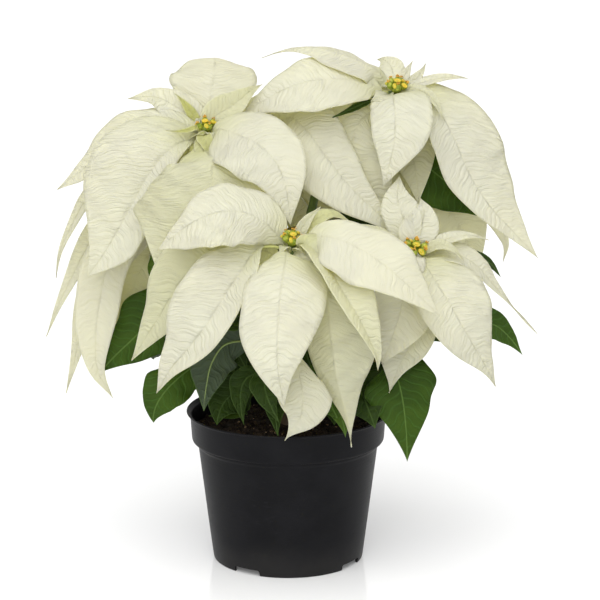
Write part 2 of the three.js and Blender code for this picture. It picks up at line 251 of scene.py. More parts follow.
def vein_lines(skin, thin=0.05, wide=0.16):
    """1 on a side vein and 0 between two veins."""
    between = ((skin.attribute("rib") + 0.5).fraction() - 0.5).size()
    return 1 - skin.step(between, thin, wide)


def midrib_line(skin, thin, wide):
    return 1 - skin.step(skin.attribute("off"), thin, wide)


def wrinkles_by_veins(skin, along_vein, across_vein):
    """Noise drawn out along the side veins. Both numbers are how fine it is."""
    off, rib = skin.attribute("off"), skin.attribute("rib")
    return skin.noise(skin.vector(off * along_vein, rib * across_vein, 0.0), 1.0, 3.0, 0.6)


def blade_skin(name, look):
    """look: the colours of one finish, how much of each shows and how high its relief is."""
    skin = Skin(name)
    place, ripple = skin.place(), skin.attribute("ripple")
    mottle = skin.noise(place, look["mottle_scale"], 4.0, 0.6)
    grain = skin.noise(place, 900.0, 2.0)
    veins = vein_lines(skin)
    midrib = midrib_line(skin, look["midrib_wide"] * 0.5, look["midrib_wide"])
    edge = 1 - skin.step(skin.attribute("rim"), 0.0002, 0.0009)
    wrinkles = wrinkles_by_veins(skin, *BROAD_WRINKLES)
    network = wrinkles_by_veins(skin, *FINE_WRINKLES)

    # Colour: mottled, darker where it is smooth as painted shade for the missing wrinkles, yellow
    # at the base and on young blades, olive as painted shade on blades in the shadow of others,
    # then the veins and the rim.
    body = skin.blend(skin.step(mottle, 0.32, 0.68), look["body"], look["body_2"])
    body = skin.blend((1 - ripple) * 0.6, body, SMOOTH_BLADE_PAINTED_SHADE)
    base = skin.step(skin.attribute("along"), 0.0, look["base_reach"], look["base_share"], 0.0)
    body = skin.blend(base + skin.attribute("tint"), body, look["base"])
    body = skin.blend(veins * look["vein_share"], body, look["vein"])
    body = skin.blend(midrib * look["midrib_share"], body, look["midrib"])
    body = skin.blend(edge * look["edge_share"], body, look["edge"])

    # Relief: wrinkles, a network and grain, with the veins sunk in the upper side.
    height = (wrinkles * look["relief"] + network * 0.45) * ripple + grain * 0.12
    height = height - veins * look["vein_depth"] - midrib * look["groove"]
    normal = skin.bump(height, look["bump"], 0.0011)
    rough = look["rough"] + (mottle - 0.5) * 0.16 + (wrinkles - 0.5) * 0.12

    # Most light comes back from the skin, and a share of it shines through.
    front = skin.surface(body, rough, normal, look["gloss"])
    glow = skin.wire("ShaderNodeBsdfTranslucent", None, {"Color": look["glow"]})
    inputs = {0: look["glow_share"], 1: front, 2: glow}
    return skin.finish(skin.wire("ShaderNodeMixShader", None, inputs))


# %% Bract and leaf finishes
BRACT = dict(
    body=rgb(0.788, 0.779, 0.726), body_2=rgb(0.815, 0.815, 0.764), mottle_scale=26.0,
    base=rgb(0.56, 0.58, 0.18), base_reach=0.30, base_share=0.38,
    vein=rgb(0.76, 0.75, 0.58), vein_share=0.14, vein_depth=0.10,
    midrib=rgb(0.76, 0.75, 0.52), midrib_wide=0.0007, midrib_share=0.12, groove=0.07,
    edge=rgb(0.90, 0.89, 0.78), edge_share=0.5, bump=1.0, rough=0.6, gloss=0.25, relief=2.2,
    glow=rgb(0.90, 0.87, 0.33), glow_share=0.42,
)
LEAF = dict(
    body=rgb(0.026, 0.058, 0.0035), body_2=rgb(0.042, 0.086, 0.006), mottle_scale=45.0,
    base=rgb(0.09, 0.16, 0.020), base_reach=0.15, base_share=0.25,
    vein=rgb(0.055, 0.125, 0.020), vein_share=0.45, vein_depth=0.4,
    midrib=rgb(0.12, 0.21, 0.045), midrib_wide=0.0008, midrib_share=0.7, groove=0.5,
    edge=rgb(0.10, 0.17, 0.04), edge_share=0.4, bump=0.8, rough=0.5, gloss=0.14, relief=1.3,
    glow=rgb(0.22, 0.38, 0.03), glow_share=0.10,
)
bract_top = blade_skin("bract_cream_top", BRACT)
bract_under = blade_skin("bract_cream_under", dict(
    BRACT, vein=rgb(0.84, 0.83, 0.64), vein_share=0.3, vein_depth=-0.4, midrib_wide=0.0014,
    midrib=rgb(0.82, 0.81, 0.56), groove=-0.2))
leaf_top = blade_skin("leaf_green_top", LEAF)
# A darker copy of the leaf finish: painted shade for the leaves that stand in the shade inside the
# plant.
leaf_painted_shade = blade_skin("leaf_green_deep", dict(
    LEAF, body=rgb(0.016, 0.034, 0.0035), body_2=rgb(0.025, 0.050, 0.005),
    vein=rgb(0.035, 0.070, 0.012), midrib=rgb(0.07, 0.12, 0.03), glow_share=0.06))
leaf_under = blade_skin("leaf_green_under", dict(
    LEAF, body=rgb(0.050, 0.070, 0.042), body_2=rgb(0.064, 0.088, 0.055), vein_depth=-0.5,
    groove=-0.2, vein=rgb(0.075, 0.105, 0.062), rough=0.6, midrib=rgb(0.12, 0.16, 0.08)))
print("blade finishes:", [material.name for material in bpy.data.materials])

# %% [markdown]
# ## Stems
# The plant has one short woody stem, pinched when it was young, and five branches that grew
# from it, each ending in a head of bracts. A branch is a single smooth bow, and that is what a
# Bezier curve is made for: four points give it. A grid is rolled into a tube round that line,
# because the tube can then be thinner towards the head and swell where a leaf stalk leaves.
# Each branch has the height at which it leaves the woody stem, two points that bend it, its
# top, and the way its head looks, as a compass angle and a height in degrees.

# %% The branches' lines
BRANCH_RADIUS = 3.4
MAIN_STEM_RADIUS = 6.5
SEAT = 0.3  # how far one stem stands off the next
BRANCHES = {
    "front": dict(
        leaves=124, bends=((2, -40, 148), (4, -58, 190)), top=(3, -53, 249), looks=(-70, 72)),
    "right": dict(
        leaves=118, bends=((62, -8, 143), (92, -26, 185)), top=(91, -30, 237), looks=(-60, 68)),
    "left": dict(
        leaves=121, bends=((-42, 14, 163), (-60, 30, 230)), top=(-61, 30, 318), looks=(-100, 78)),
    "back_right": dict(
        leaves=131, bends=((14, 60, 280), (34, 62, 350)), top=(80, 40, 344), looks=(-70, 75)),
    "back": dict(
        leaves=116, bends=((-18, 48, 152), (-8, 62, 230)), top=(-6, 60, 306), looks=(90, 78)),
}


def unit(vector):
    return vector / np.linalg.norm(vector)


def direction(azimuth, elevation):
    a, e = math.radians(azimuth), math.radians(elevation)
    return np.array((math.cos(e) * math.cos(a), math.cos(e) * math.sin(a), math.sin(e)))


def branch_points(name):
    """The four points of a branch's curve, in millimetres."""
    branch = BRANCHES[name]
    first, second = (np.array(p, float) for p in branch["bends"])
    outward = unit(np.array((first[0], first[1], 0.0)))
    leaving = unit(np.array((first[0], first[1], first[2] - branch["leaves"])))
    aslant = math.sqrt(1 - float(leaving @ outward) ** 2)
    start = outward * (MAIN_STEM_RADIUS + SEAT + BRANCH_RADIUS * aslant)
    start[2] = branch["leaves"]
    return start, first, second, np.array(branch["top"], float)


def on_branch(name, t):
    """Where a branch is at t, and which way it runs there."""
    p0, p1, p2, p3 = branch_points(name)
    r = 1 - t
    point = r**3 * p0 + 3 * r * r * t * p1 + 3 * r * t * t * p2 + t**3 * p3
    along = 3 * r * r * (p1 - p0) + 6 * r * t * (p2 - p1) + 3 * t * t * (p3 - p2)
    return point, unit(along)


print("branch tops:", {name: branch["top"] for name, branch in BRANCHES.items()})

# %% [markdown]
# ## Helpers for modelling by hand
# An operator acts on whatever is selected, just as it does under the hand. So each piece starts
# with nothing selected, and its faces are then picked by where they lie or which way they look.
# A finished piece has its place in its mesh and its object at the origin, as the plain solids
# have. Round solids share one way of making: a disc is pulled up ring by ring, and each ring is
# drawn in or out, which needs no outline of an inner side as spinning does.

# %% Helpers for selecting and editing


def deselect():
    bpy.ops.object.select_all(action="DESELECT")


def active(name):
    """The object that an operator has just made, under its own name."""
    thing = bpy.context.object
    thing.name = name
    thing.data.name = name
    return thing


def close_up():
    """In edit mode: merges the doubles, turns all faces outwards and leaves edit mode."""
    bpy.ops.mesh.select_all(action="SELECT")
    bpy.ops.mesh.remove_doubles(threshold=1e-6)
    bpy.ops.mesh.normals_make_consistent(inside=False)
    bpy.ops.object.mode_set(mode="OBJECT")


def edit(action="SELECT"):
    """Goes into edit mode with everything or nothing selected."""
    bpy.ops.object.mode_set(mode="EDIT")
    bpy.ops.mesh.select_all(action=action)


def edit_faces(thing, wanted):
    """Goes into edit mode with the faces selected for which wanted(face) is true."""
    edit("DESELECT")
    bpy.ops.object.mode_set(mode="OBJECT")
    for face in thing.data.polygons:
        face.select = wanted(face)
    bpy.ops.object.mode_set(mode="EDIT")


print("editing helpers ready")

# %% Helpers for finished pieces


def apply_modifier(thing, kind, **settings):
    bpy.context.view_layer.objects.active = thing
    bpy.ops.object.modifier_add(type=kind)
    modifier = thing.modifiers[-1]
    for key, value in settings.items():
        setattr(modifier, key, value)
    bpy.ops.object.modifier_apply(modifier=modifier.name)


def settle(thing):
    """Puts the object at the origin, with its place in its mesh."""
    deselect()
    thing.select_set(True)
    bpy.context.view_layer.objects.active = thing
    bpy.ops.object.transform_apply(location=True, rotation=True, scale=True)


def joined(name, things):
    deselect()
    for thing in things:
        thing.select_set(True)
    bpy.context.view_layer.objects.active = things[0]
    bpy.ops.object.join()
    return active(name)


def dress(thing, material):
    """Smooth shading, and the next material of the object."""
    thing.data.shade_smooth()
    thing.data.materials.append(material)


def discard(*things):
    for thing in things:
        bpy.data.objects.remove(thing)


def twin_of(shape, place, lean, sizes):
    """A copy with its own mesh: its place in millimetres, its lean in degrees and its size."""
    twin = shape.copy()
    twin.data = shape.data.copy()
    bpy.context.scene.collection.objects.link(twin)
    twin.location = Vector(place) * MM
    twin.rotation_euler = [math.radians(a) for a in lean]
    twin.scale = sizes
    return twin


def carry(piece, slot, *nodes):
    """Rides the piece on the plant's one body and hides the plain solids that it stands for."""
    settle(piece)
    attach(piece, "root")
    if nodes:
        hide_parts(*nodes)


print("helpers for pieces ready")

# %% A turned solid


def turned(name, profile, sides):
    """A round solid from (radius, height) points in millimetres: a disc, pulled up ring by ring."""
    deselect()
    radius, height = profile[0]
    bpy.ops.mesh.primitive_circle_add(
        vertices=sides, radius=radius * MM, fill_type="TRIFAN", location=(0, 0, height * MM))
    thing = active(name)
    edit()
    for next_radius, next_height in profile[1:]:
        rise = (0, 0, (next_height - height) * MM)
        bpy.ops.mesh.extrude_region_move(TRANSFORM_OT_translate={"value": rise})
        share = next_radius / radius
        bpy.ops.transform.resize(value=(share, share, 1), center_override=(0, 0, 0))
        radius, height = next_radius, next_height
    close_up()
    settle(thing)
    return thing


print("turned solids ready")

# %% [markdown]
# The branches are green at the top and turn brown and corky towards the soil, the woody stem
# is brown all over, and fine fibres run along both.

# %% Stem finishes


def stem_skin(name, green, brown, low, high):
    """Brown below the height low, green above the height high, both in metres."""
    skin = Skin(name)
    place = skin.place()
    height = skin.wire("ShaderNodeSeparateXYZ", None, {0: place}, "Z")
    patches = skin.noise(place, 120.0, 4.0, 0.65)
    age = skin.step(height + (patches - 0.5) * 0.05, low, high)
    body = skin.blend(age, brown, green)
    squeezed = skin.wire(
        "ShaderNodeVectorMath", {"operation": "MULTIPLY"}, {0: place, 1: (1, 1, 0.16)})
    fibres = skin.noise(squeezed, 1500.0, 3.0, 0.6)
    body = skin.blend(skin.step(fibres, 0.45, 0.75, 0.0, 0.45), body, rgb(0.03, 0.022, 0.012))
    normal = skin.bump(fibres + patches * 0.6, 0.6, 0.0006)
    return skin.finish(skin.surface(body, 0.5 + (patches - 0.5) * 0.3, normal, 0.4))


branch_finish = stem_skin(
    "branch_skin", rgb(0.075, 0.125, 0.022), rgb(0.10, 0.07, 0.03), 0.12, 0.26)
bark_finish = stem_skin("bark_skin", rgb(0.12, 0.10, 0.045), rgb(0.10, 0.068, 0.036), 0.10, 0.15)
print("stem finishes ready")


# %% [markdown]
# ## How a bract or a leaf is shaped
# A bract bends along its midrib, folds across it, waves at its margin and is quilted between
# its veins, all at once. Pulling points by hand would take hours for each one, so a flat grid
# is added and each of its points is moved to where a rule puts it: `u` runs from one margin
# to the other and `s` from the stalk to the tip. The rule is written once, and every blade
# gives it its own numbers. Solidify then gives the grid its thickness.

# %% Grids and tubes


def sheet(name, cells_across, cells_along, rule):
    """A flat grid, each point moved to where rule(u, s) says. It keeps the rule's numbers."""
    deselect()
    bpy.ops.mesh.primitive_grid_add(x_subdivisions=cells_across, y_subdivisions=cells_along, size=2)
    thing = active(name)
    mesh = thing.data
    flat = np.empty(len(mesh.vertices) * 3)
    mesh.vertices.foreach_get("co", flat)
    flat = flat.reshape(-1, 3)
    points, numbers = rule(flat[:, 0], flat[:, 1] * 0.5 + 0.5)
    mesh.vertices.foreach_set("co", (points * MM).ravel())
    for key, values in numbers.items():
        values = np.ascontiguousarray(np.broadcast_to(values, len(flat)), np.float32)
        mesh.attributes.new(key, "FLOAT", "POINT").data.foreach_set("value", values)
    mesh.update()
    return thing


def tube(name, line, ways, radii, sides, beside, numbers=None):
    """A closed round tube along the points of line, its ends drawn together to a point."""
    steps = len(line) - 1

    def rule(u, s):
        i = np.rint(s * steps).astype(int)
        out = beside - ways[i] * (ways[i] @ beside)[:, None]
        out /= np.linalg.norm(out, axis=1)[:, None]
        round_it = np.cross(ways[i], out)
        turn = np.pi * (u + 1)
        spoke = out * np.cos(turn)[:, None] + round_it * np.sin(turn)[:, None]
        kept = {key: values[i] for key, values in (numbers or {}).items()}
        return line[i] + spoke * radii[i][:, None], kept

    thing = sheet(name, sides, steps, rule)
    edit()
    close_up()
    return thing


def lengths(line):
    """How far each point of a line is along it."""
    return np.concatenate(([0.0], np.cumsum(np.linalg.norm(np.diff(line, axis=0), axis=1))))


def smoothstep(x):
    t = np.clip(x, 0, 1)
    return t * t * (3 - 2 * t)


print("sheet and tube ready")

# %% [markdown]
# The midrib carries the blade, so it comes first: a curve from inside the branch's skin to the
# tip. A short blade is one plain bow, for which the point half-way and the tip are enough. A
# long one droops, straightens and curls at its tip, and is drawn through more points. At every
# point the blade also needs a way across and a way up, and these may twist a little on the way.

# %% The midrib of a blade
STALK_RADIUS = 1.5
SUNK = 0.7  # how deep a stalk starts inside its branch


def smooth_line(points):
    """A smooth curve through the points, as a function of t from 0 to 1."""
    points = np.array(points, float)
    knots = lengths(points)
    knots = knots / knots[-1]
    leans = np.gradient(points, knots, axis=0)

    def place(t):
        t = np.atleast_1d(t)
        i = np.clip(np.searchsorted(knots, t, side="right") - 1, 0, len(points) - 2)
        gap = (knots[i + 1] - knots[i])[:, None]
        x = (t - knots[i])[:, None] / gap
        ends = (1 - x) ** 2 * (1 + 2 * x) * points[i] + x * x * (3 - 2 * x) * points[i + 1]
        bows = x * (1 - x) ** 2 * leans[i] - x * x * (1 - x) * leans[i + 1]
        return ends + bows * gap

    return place


def midrib_curve(blade):
    """The midrib from inside the branch's skin to the tip, as a function of t. Two points are
    the one half-way and the tip, and give a plain bow. More are the points that it runs through."""
    node, tangent = on_branch(blade["on"], blade["at"])
    first = np.array(blade["points"][0], float)
    outward = first - node
    outward = unit(outward - tangent * (outward @ tangent))
    start = node + outward * (BRANCH_RADIUS - SUNK)
    if len(blade["points"]) > 2:
        return smooth_line([start, *blade["points"]])
    tip = np.array(blade["points"][1], float)
    bend = 2 * first - 0.5 * node - 0.5 * tip

    def place(t):
        t = np.atleast_1d(t)[:, None]
        return (1 - t) ** 2 * start + 2 * (1 - t) * t * bend + t * t * tip

    return place


def ways_along(place, t):
    ahead = place(np.clip(t + 0.01, 0, 1)) - place(np.clip(t - 0.01, 0, 1))
    return ahead / np.linalg.norm(ahead, axis=1)[:, None]


def frames(place, t, facing, twist):
    """At each t: the point, the way along, the way up from the blade and the way across it."""
    point, along = place(t), ways_along(place, t)
    up = facing - along * (along @ facing)[:, None]
    up /= np.linalg.norm(up, axis=1)[:, None]
    across = np.cross(along, up)
    turn = (np.radians(twist) * (t - 0.45))[:, None]
    cos, sin = np.cos(turn), np.sin(turn)
    return point, along, up * cos + across * sin, across * cos - up * sin


print("midrib ready")

# %% [markdown]
# The numbers of a blade: `stalk` and `widest` are shares of its length, `shoulder` says how
# fast it opens and `point` how slender it ends. The side veins stand `vein_gap` millimetres
# apart and run forwards by `slope`. `quilt` is the height of the cushions between them, `bow`
# rounds each half, `wave` is the wave of the margin, `edge` its small teeth and `lobes` its
# large ones, and `thick` is the thickness. `left` and `right` make one half wider or narrower.

# %% The outline of a blade
EVERY_BLADE = dict(
    widest=0.40, bow=0.10, thick=0.42, tint=0.0, ripple=1.0, left=1.0, right=1.0)
KINDS = {
    "bract": dict(
        stalk=0.045, shoulder=2.6, point=0.55, vein_gap=5.0, slope=0.34, quilt=0.38, wave=1.2,
        lobes=0.0, edge=0.015),
    "leaf": dict(
        stalk=0.26, shoulder=2.4, point=0.45, vein_gap=7.2, slope=0.5, quilt=0.42, wave=1.6,
        lobes=0.05, edge=0.02),
}


def both_sides(value):
    """A number for the left and one for the right half."""
    return value if isinstance(value, tuple) else (value, value)


def outline(s, widest, shoulder, point):
    """The share of the full width at s. A high shoulder opens fast, a high point ends slender."""
    head = 1 - (1 - np.clip(s / widest, 0, 1)) ** shoulder
    x = np.clip((s - widest) / (1 - widest), 0, 1)
    tail = (1 - point) * (1 - x * x) + point * 0.5 * (1 + np.cos(np.pi * x))
    thread = 0.03 * np.sqrt(np.clip(1 - s, 0, 1)) * smoothstep(s / 0.06)
    return np.sqrt(np.where(s < widest, head, tail) ** 2 + thread**2)


print("kinds of blade:", list(KINDS))

# %% The surface of a blade
COARSE_TEETH, FINE_TEETH = 9.5, 21  # how many radians of each run along the margin
LOBES_ALONG = 3.1
LONG_WAVES, SHORT_WAVES = 2.3, 5.1  # how many of each run along the margin


def blade_sheet(name, kind, blade, cells_across, cells_along):
    """The upper skin of a blade as a sheet, and what its midrib needs to follow it."""
    look = {**EVERY_BLADE, **KINDS[kind], **blade}
    chance = random.Random(name)
    phases = [chance.uniform(0, 2 * math.pi) for _ in range(6)]
    place = midrib_curve(blade)
    facing = direction(*blade["face"])
    twist = look.get("twist", chance.uniform(-9, 9))
    stalk = look["stalk"]
    reach_of_rib = lengths(place(np.linspace(stalk, 1, 60)))[-1]
    pairs = reach_of_rib / look["vein_gap"]
    fold = math.radians(look["fold"])

    def half_width(s, left):
        """How far the margin is from the midrib, with its teeth and lobes."""
        side_share = np.where(left, look["left"], look["right"])
        teeth = np.sin(COARSE_TEETH * s + np.where(left, phases[0], phases[1]))
        teeth += 0.6 * np.sin(FINE_TEETH * s + np.where(left, phases[2], phases[3]))
        lobes = np.cos(2 * np.pi * LOBES_ALONG * (s - 0.12)) * smoothstep((0.75 - s) / 0.3)
        halves = [
            outline(s, widest, look["shoulder"], look["point"])
            for widest in both_sides(look["widest"])]
        half = look["width"] / 2 * np.where(left, *halves)
        return half * side_share * (1 + look["edge"] * teeth + look["lobes"] * lobes)

    def rib_number(s, part, left, half, turn):
        """Counts along the side veins, which run forwards and bend towards the tip."""
        rib = pairs * (s - look["slope"] * (half * part) / reach_of_rib) + np.where(left, 0.0, 0.4)
        rib -= pairs * 0.3 * part**2 * half / reach_of_rib
        return rib + 0.16 * np.sin(2 * np.pi * (0.23 * pairs * s + part) + turn)

    def height_above(s, part, half, rib, turn):
        """How high a point lies above the midrib: fold, bow, quilting and wave together."""
        vee = (np.sqrt(part**2 + 0.0008) - 0.0283) * half
        lift = vee * math.tan(fold) - look["bow"] * half * (part**2 - 0.2)
        uneven = 0.75 + 0.35 * np.sin(2.1 * rib + 3.7 * part + turn)
        uneven = uneven + 0.2 * np.sin(5.3 * rib - 6 * part)
        swell = np.abs(np.sin(np.pi * rib)) ** 1.15 * uneven
        mound = smoothstep(part / 0.16) * (1 - 0.65 * smoothstep((part - 0.7) / 0.3))
        ends = smoothstep((1 - s) / 0.2) * smoothstep(s / 0.08)
        lift += look["quilt"] * (swell - 0.4) * mound * ends
        wave = np.sin(2 * np.pi * LONG_WAVES * s + turn)
        wave += 0.4 * np.sin(2 * np.pi * SHORT_WAVES * s + 2 * turn)
        return lift + look["wave"] * wave * part**2.2 * np.clip(half / 22, 0.15, 1.2)

    def rule(u, s):
        u = np.sign(u) * np.abs(u) ** 1.25  # smaller cells beside the midrib
        point, along, up, across = frames(place, stalk + (1 - stalk) * s, facing, twist)
        left, part = u > 0, np.abs(u)
        half = half_width(s, left)
        away = half * part
        turn = np.where(left, phases[4], phases[5])
        rib = rib_number(s, part, left, half, turn)
        lift = height_above(s, part, half, rib, turn)
        sideways = np.sign(u) * away * math.cos(fold)
        numbers = dict(rib=rib, off=away * MM, rim=(half - away) * MM, along=s, tint=look["tint"],
                       ripple=look["ripple"])
        return point + across * sideways[:, None] + up * lift[:, None], numbers

    thing = sheet(name, cells_across, cells_along, rule)
    return thing, look, place, facing, twist


print("blade rule ready")

# %% [markdown]
# A real blade is less than half a millimetre thick, and its midrib stands out below it and runs
# on as the stalk. Solidify gives the sheet that thickness, and the underside a finish of its
# own. The midrib is a tapered tube beside the sheet and not a ridge pulled out of it, because a
# tube follows any bend of the blade without tearing the grid.

# %% One finished blade: sheet, thickness, stalk and midrib
BLADE_CELLS = (20, 144)  # across and along, fewer where a blade is small or hidden
FAR_CELLS, INNER_CELLS = (20, 72), (20, 64)
YOUNG_CELLS, TINY_CELLS = (18, 64), (14, 44)


def midrib_tube(name, look, place, facing, twist):
    """The round stalk, which runs on as the raised midrib under the blade."""
    stalk = look["stalk"]
    t = np.concatenate((np.linspace(0, stalk, 7)[:-1], np.linspace(stalk, 0.93, 26)))
    point, along, up, _ = frames(place, t, facing, twist)
    s = np.clip((t - stalk) / (1 - stalk), 0, 1)
    thick = STALK_RADIUS * (0.85 - 0.2 * smoothstep(t / stalk)) * (1 - 0.78 * s**0.7)
    thick[0] = thick[-1] = 0
    thick = thick * min(1.0, 0.45 + look["width"] / 60)
    below = (thick + 0.12) * smoothstep((t - 0.4 * stalk) / (0.6 * stalk))
    level = dict(off=0.0, rim=1.0, rib=0.5, tint=look["tint"], ripple=look["ripple"])
    numbers = dict(along=s, **{key: np.full_like(s, value) for key, value in level.items()})
    return tube(name, point - up * below[:, None], along, thick, 8, facing, numbers)


def blade(piece, kind, numbers, skins, cells=BLADE_CELLS, node=None):
    """skins: the upper side's, the underside's and the stalk's. node: the solid it replaces."""
    thing, look, place, facing, twist = blade_sheet(piece, kind, numbers, *cells)
    for skin in skins:
        thing.data.materials.append(skin)
    apply_modifier(thing, "SOLIDIFY", thickness=look["thick"] * MM, offset=-1,
                   material_offset=1, material_offset_rim=0, use_even_offset=False)
    rib = midrib_tube(piece + "_rib", look, place, facing, twist)
    rib.data.materials.append(skins[2])
    whole = joined(piece, [thing, rib])
    whole.data.shade_smooth()
    carry(whole, "bract_cream" if kind == "bract" else "leaf_green", *([node] if node else []))


def stalk_finish(name, near, far):
    """The skin of stalk and midrib: the colour near at the branch, far along the blade."""
    skin = Skin(name)
    streaks = skin.noise(skin.place(), 700.0, 3.0)
    body = skin.blend(skin.step(skin.attribute("along"), 0.0, 0.25), near, far)
    body = skin.blend(skin.step(streaks, 0.4, 0.75, 0.0, 0.35), body, rgb(0.20, 0.24, 0.06))
    normal = skin.bump(streaks, 0.4, 0.0004)
    return skin.finish(skin.surface(body, 0.45 + (streaks - 0.5) * 0.3, normal, 0.4))


bract_stalk = stalk_finish("bract_stalk", rgb(0.42, 0.43, 0.15), rgb(0.84, 0.83, 0.60))
leaf_stalk = stalk_finish("leaf_stalk", rgb(0.20, 0.17, 0.045), rgb(0.20, 0.28, 0.09))
BRACT_SKINS = (bract_top, bract_under, bract_stalk)
print("stalk finishes ready")

# %% [markdown]
# ## The branches and the woody stem
# Each branch is a tube on its own curve. It starts a little inside the stem that it grew from,
# it is thicker below, and it swells where a stalk leaves it or where an old leaf has fallen.
# The woody stem is a disc pulled up ring by ring, with a knob at each ring where a branch
# broke out and a pinched, dried-off top.

# %% Branch tubes


def stem_swellings(name, t):
    """Eight low rings along a branch, where leaves stood and under the head."""
    scars = random.Random("scars_" + name)
    swell = np.zeros_like(t)
    for spot in [scars.uniform(0.06, 0.9) for _ in range(7)] + [0.98]:
        swell += 0.55 * np.exp(-(((t - spot) / 0.014) ** 2))
    return swell


for branch_name in BRANCHES:
    t = np.linspace(0, 1, 91)
    line, ways = (np.array(part) for part in zip(*(on_branch(branch_name, x) for x in t)))
    radii = BRANCH_RADIUS * (1.08 - 0.2 * t) + stem_swellings(branch_name, t)
    radii = radii + np.sin(t * 37 + len(branch_name)) * 0.12
    first, last = ways[0], ways[-1]
    line = np.vstack((line[0] - first * 2.5, line[0] - first * 2.4, line, line[-1] + last * 0.1))
    ways = np.vstack((first, first, ways, last))
    radii = np.concatenate(([0.0, radii[0] * 0.9], radii, [0.0]))
    stem = tube("stem_" + branch_name, line, ways, radii, 14, np.array((0.3, 0.9, 0.2)))
    dress(stem, branch_finish)
    carry(stem, "stem_green", "branch_" + branch_name)

# %% The woody stem
woody = turned("woody_stem", [
    (5.5, 67), (6.5, 80), (6.4, 99), (7.0, 101), (6.7, 104), (6.4, 108), (6.9, 112), (6.6, 115),
    (7.1, 118), (6.7, 121), (7.0, 124), (6.6, 127), (6.9, 131), (6.2, 134), (5.6, 136),
    (4.6, 138.2), (3.0, 139.4), (1.2, 139.9), (0.2, 140),
], 32)
wood_lumps = bpy.data.textures.new("wood_lumps", "CLOUDS")
wood_lumps.noise_scale = 0.006
apply_modifier(woody, "DISPLACE", texture=wood_lumps, strength=0.9 * MM, mid_level=0.5)
dress(woody, bark_finish)
carry(woody, "stem_bark", "main_stem")
print("woody stem", len(woody.data.polygons), "faces")

# %% [markdown]
# ## The bracts
# Every bract has its own row in a table, in millimetres and degrees: the branch that carries
# it and how far up it grows, its width, the compass angle and the height that its upper side
# faces, how far it is folded, and points along its midrib: the one half-way and the tip, or
# three and more that it runs through. Then come the numbers that differ from those of a usual
# bract. The rows of the first five tables take the place of the plain solids with the same
# names. After those come the small young bracts beside the cups and the ones that look away
# to the back, which are too many and too thin for the solid model.

# %% What a row holds


def row(on, at, width, face, fold, *points, **more):
    """One blade: its branch, how far up it (0 to 1), its width, faces, fold and points."""
    return dict(on=on, at=at, width=width, face=face, fold=fold, points=points, **more)


def grow_bracts(table):
    """A bract for each row, in the place of the plain solid of that name."""
    for name, numbers in table.items():
        blade("cream_bract_" + name, "bract", numbers, BRACT_SKINS, node="bract_" + name)
    print("bracts:", ", ".join(table))


print("table helpers ready")

# %% Bracts of the front head
# On some of these rows the yellowing is painted shade: it colours olive the bracts that lie in the
# shadow of others.
grow_bracts({
    "front_1": row(
        "front", 0.985, 56, (-100, 50), 5, (-7, -55, 257), (-18, -58, 268), (-37, -62, 276),
        (-62, -65, 271), (-79, -66, 260), (-92, -66, 249), wave=2.0, left=0.95, right=1.1,
        widest=(0.42, 0.6)),
    "front_2": row(
        "front", 0.93, 60, (-112, 20), 14, (-14, -54, 245), (-29, -56, 248), (-50, -58, 242),
        (-70, -57, 230), (-92, -55, 198), (-113, -50, 164), tint=0.3, left=0.9),
    "front_3": row(
        "front", 0.985, 60, (-104, 32), 20, (-10, -58, 250), (-20, -66, 251), (-31, -76, 238),
        (-42, -84, 223), (-54, -90, 204), (-69, -91, 184), (-83, -89, 167), (-93, -85, 149),
        twist=0, stalk=0.13, left=1.12, right=0.62, widest=(0.42, 0.5)),
    "front_4": row(
        "front", 0.985, 60, (-90, 22), -6, (0, -64, 247), (-1, -76, 243), (-4, -98, 227),
        (-6, -112, 203), (-6, -119, 176), (-2, -112, 146), quilt=0.5, twist=0, widest=(0.52, 0.32),
        left=0.92, right=1.1, shoulder=3.0, slope=0.15, stalk=0.03, vein_gap=5.6),
    "front_5": row(
        "front", 0.97, 58, (-106, 24), -28, (15, -60, 251), (24, -68, 244), (28, -80, 216),
        (32, -85, 184), (36, -84, 155), (43, -80, 128), (46, -78, 107), tint=0.25, twist=0,
        left=0.86, right=1.15, widest=0.5, point=1.0),
    "front_6": row(
        "front", 0.98, 44, (-56, 18), 28, (11, -62, 253), (19, -70, 250), (29, -82, 240),
        (39, -93, 225), (50, -101, 208), (58, -103, 192), (63, -101, 179), (64, -98, 169), twist=0,
        left=0.7, tint=0.22),
    "front_7": row(
        "front", 0.99, 58, (-84, 42), 3, (15, -60, 254), (25, -66, 259), (44, -76, 256),
        (65, -86, 245), (85, -91, 229), (107, -91, 207), wave=1.8, ripple=0.5, quilt=0.22,
        widest=(0.42, 0.6), right=0.8, left=0.92),
    "front_8": row(
        "front", 0.8, 52, (-78, 4), 4, (5, -72, 181), (8, -80, 165), (11, -88, 149), (10, -93, 135),
        (-2, -92, 116), tint=0.05, widest=0.5, stalk=0.38, shoulder=1.0, left=0.7, right=0.82,
        point=0.9, ripple=0.8),
})
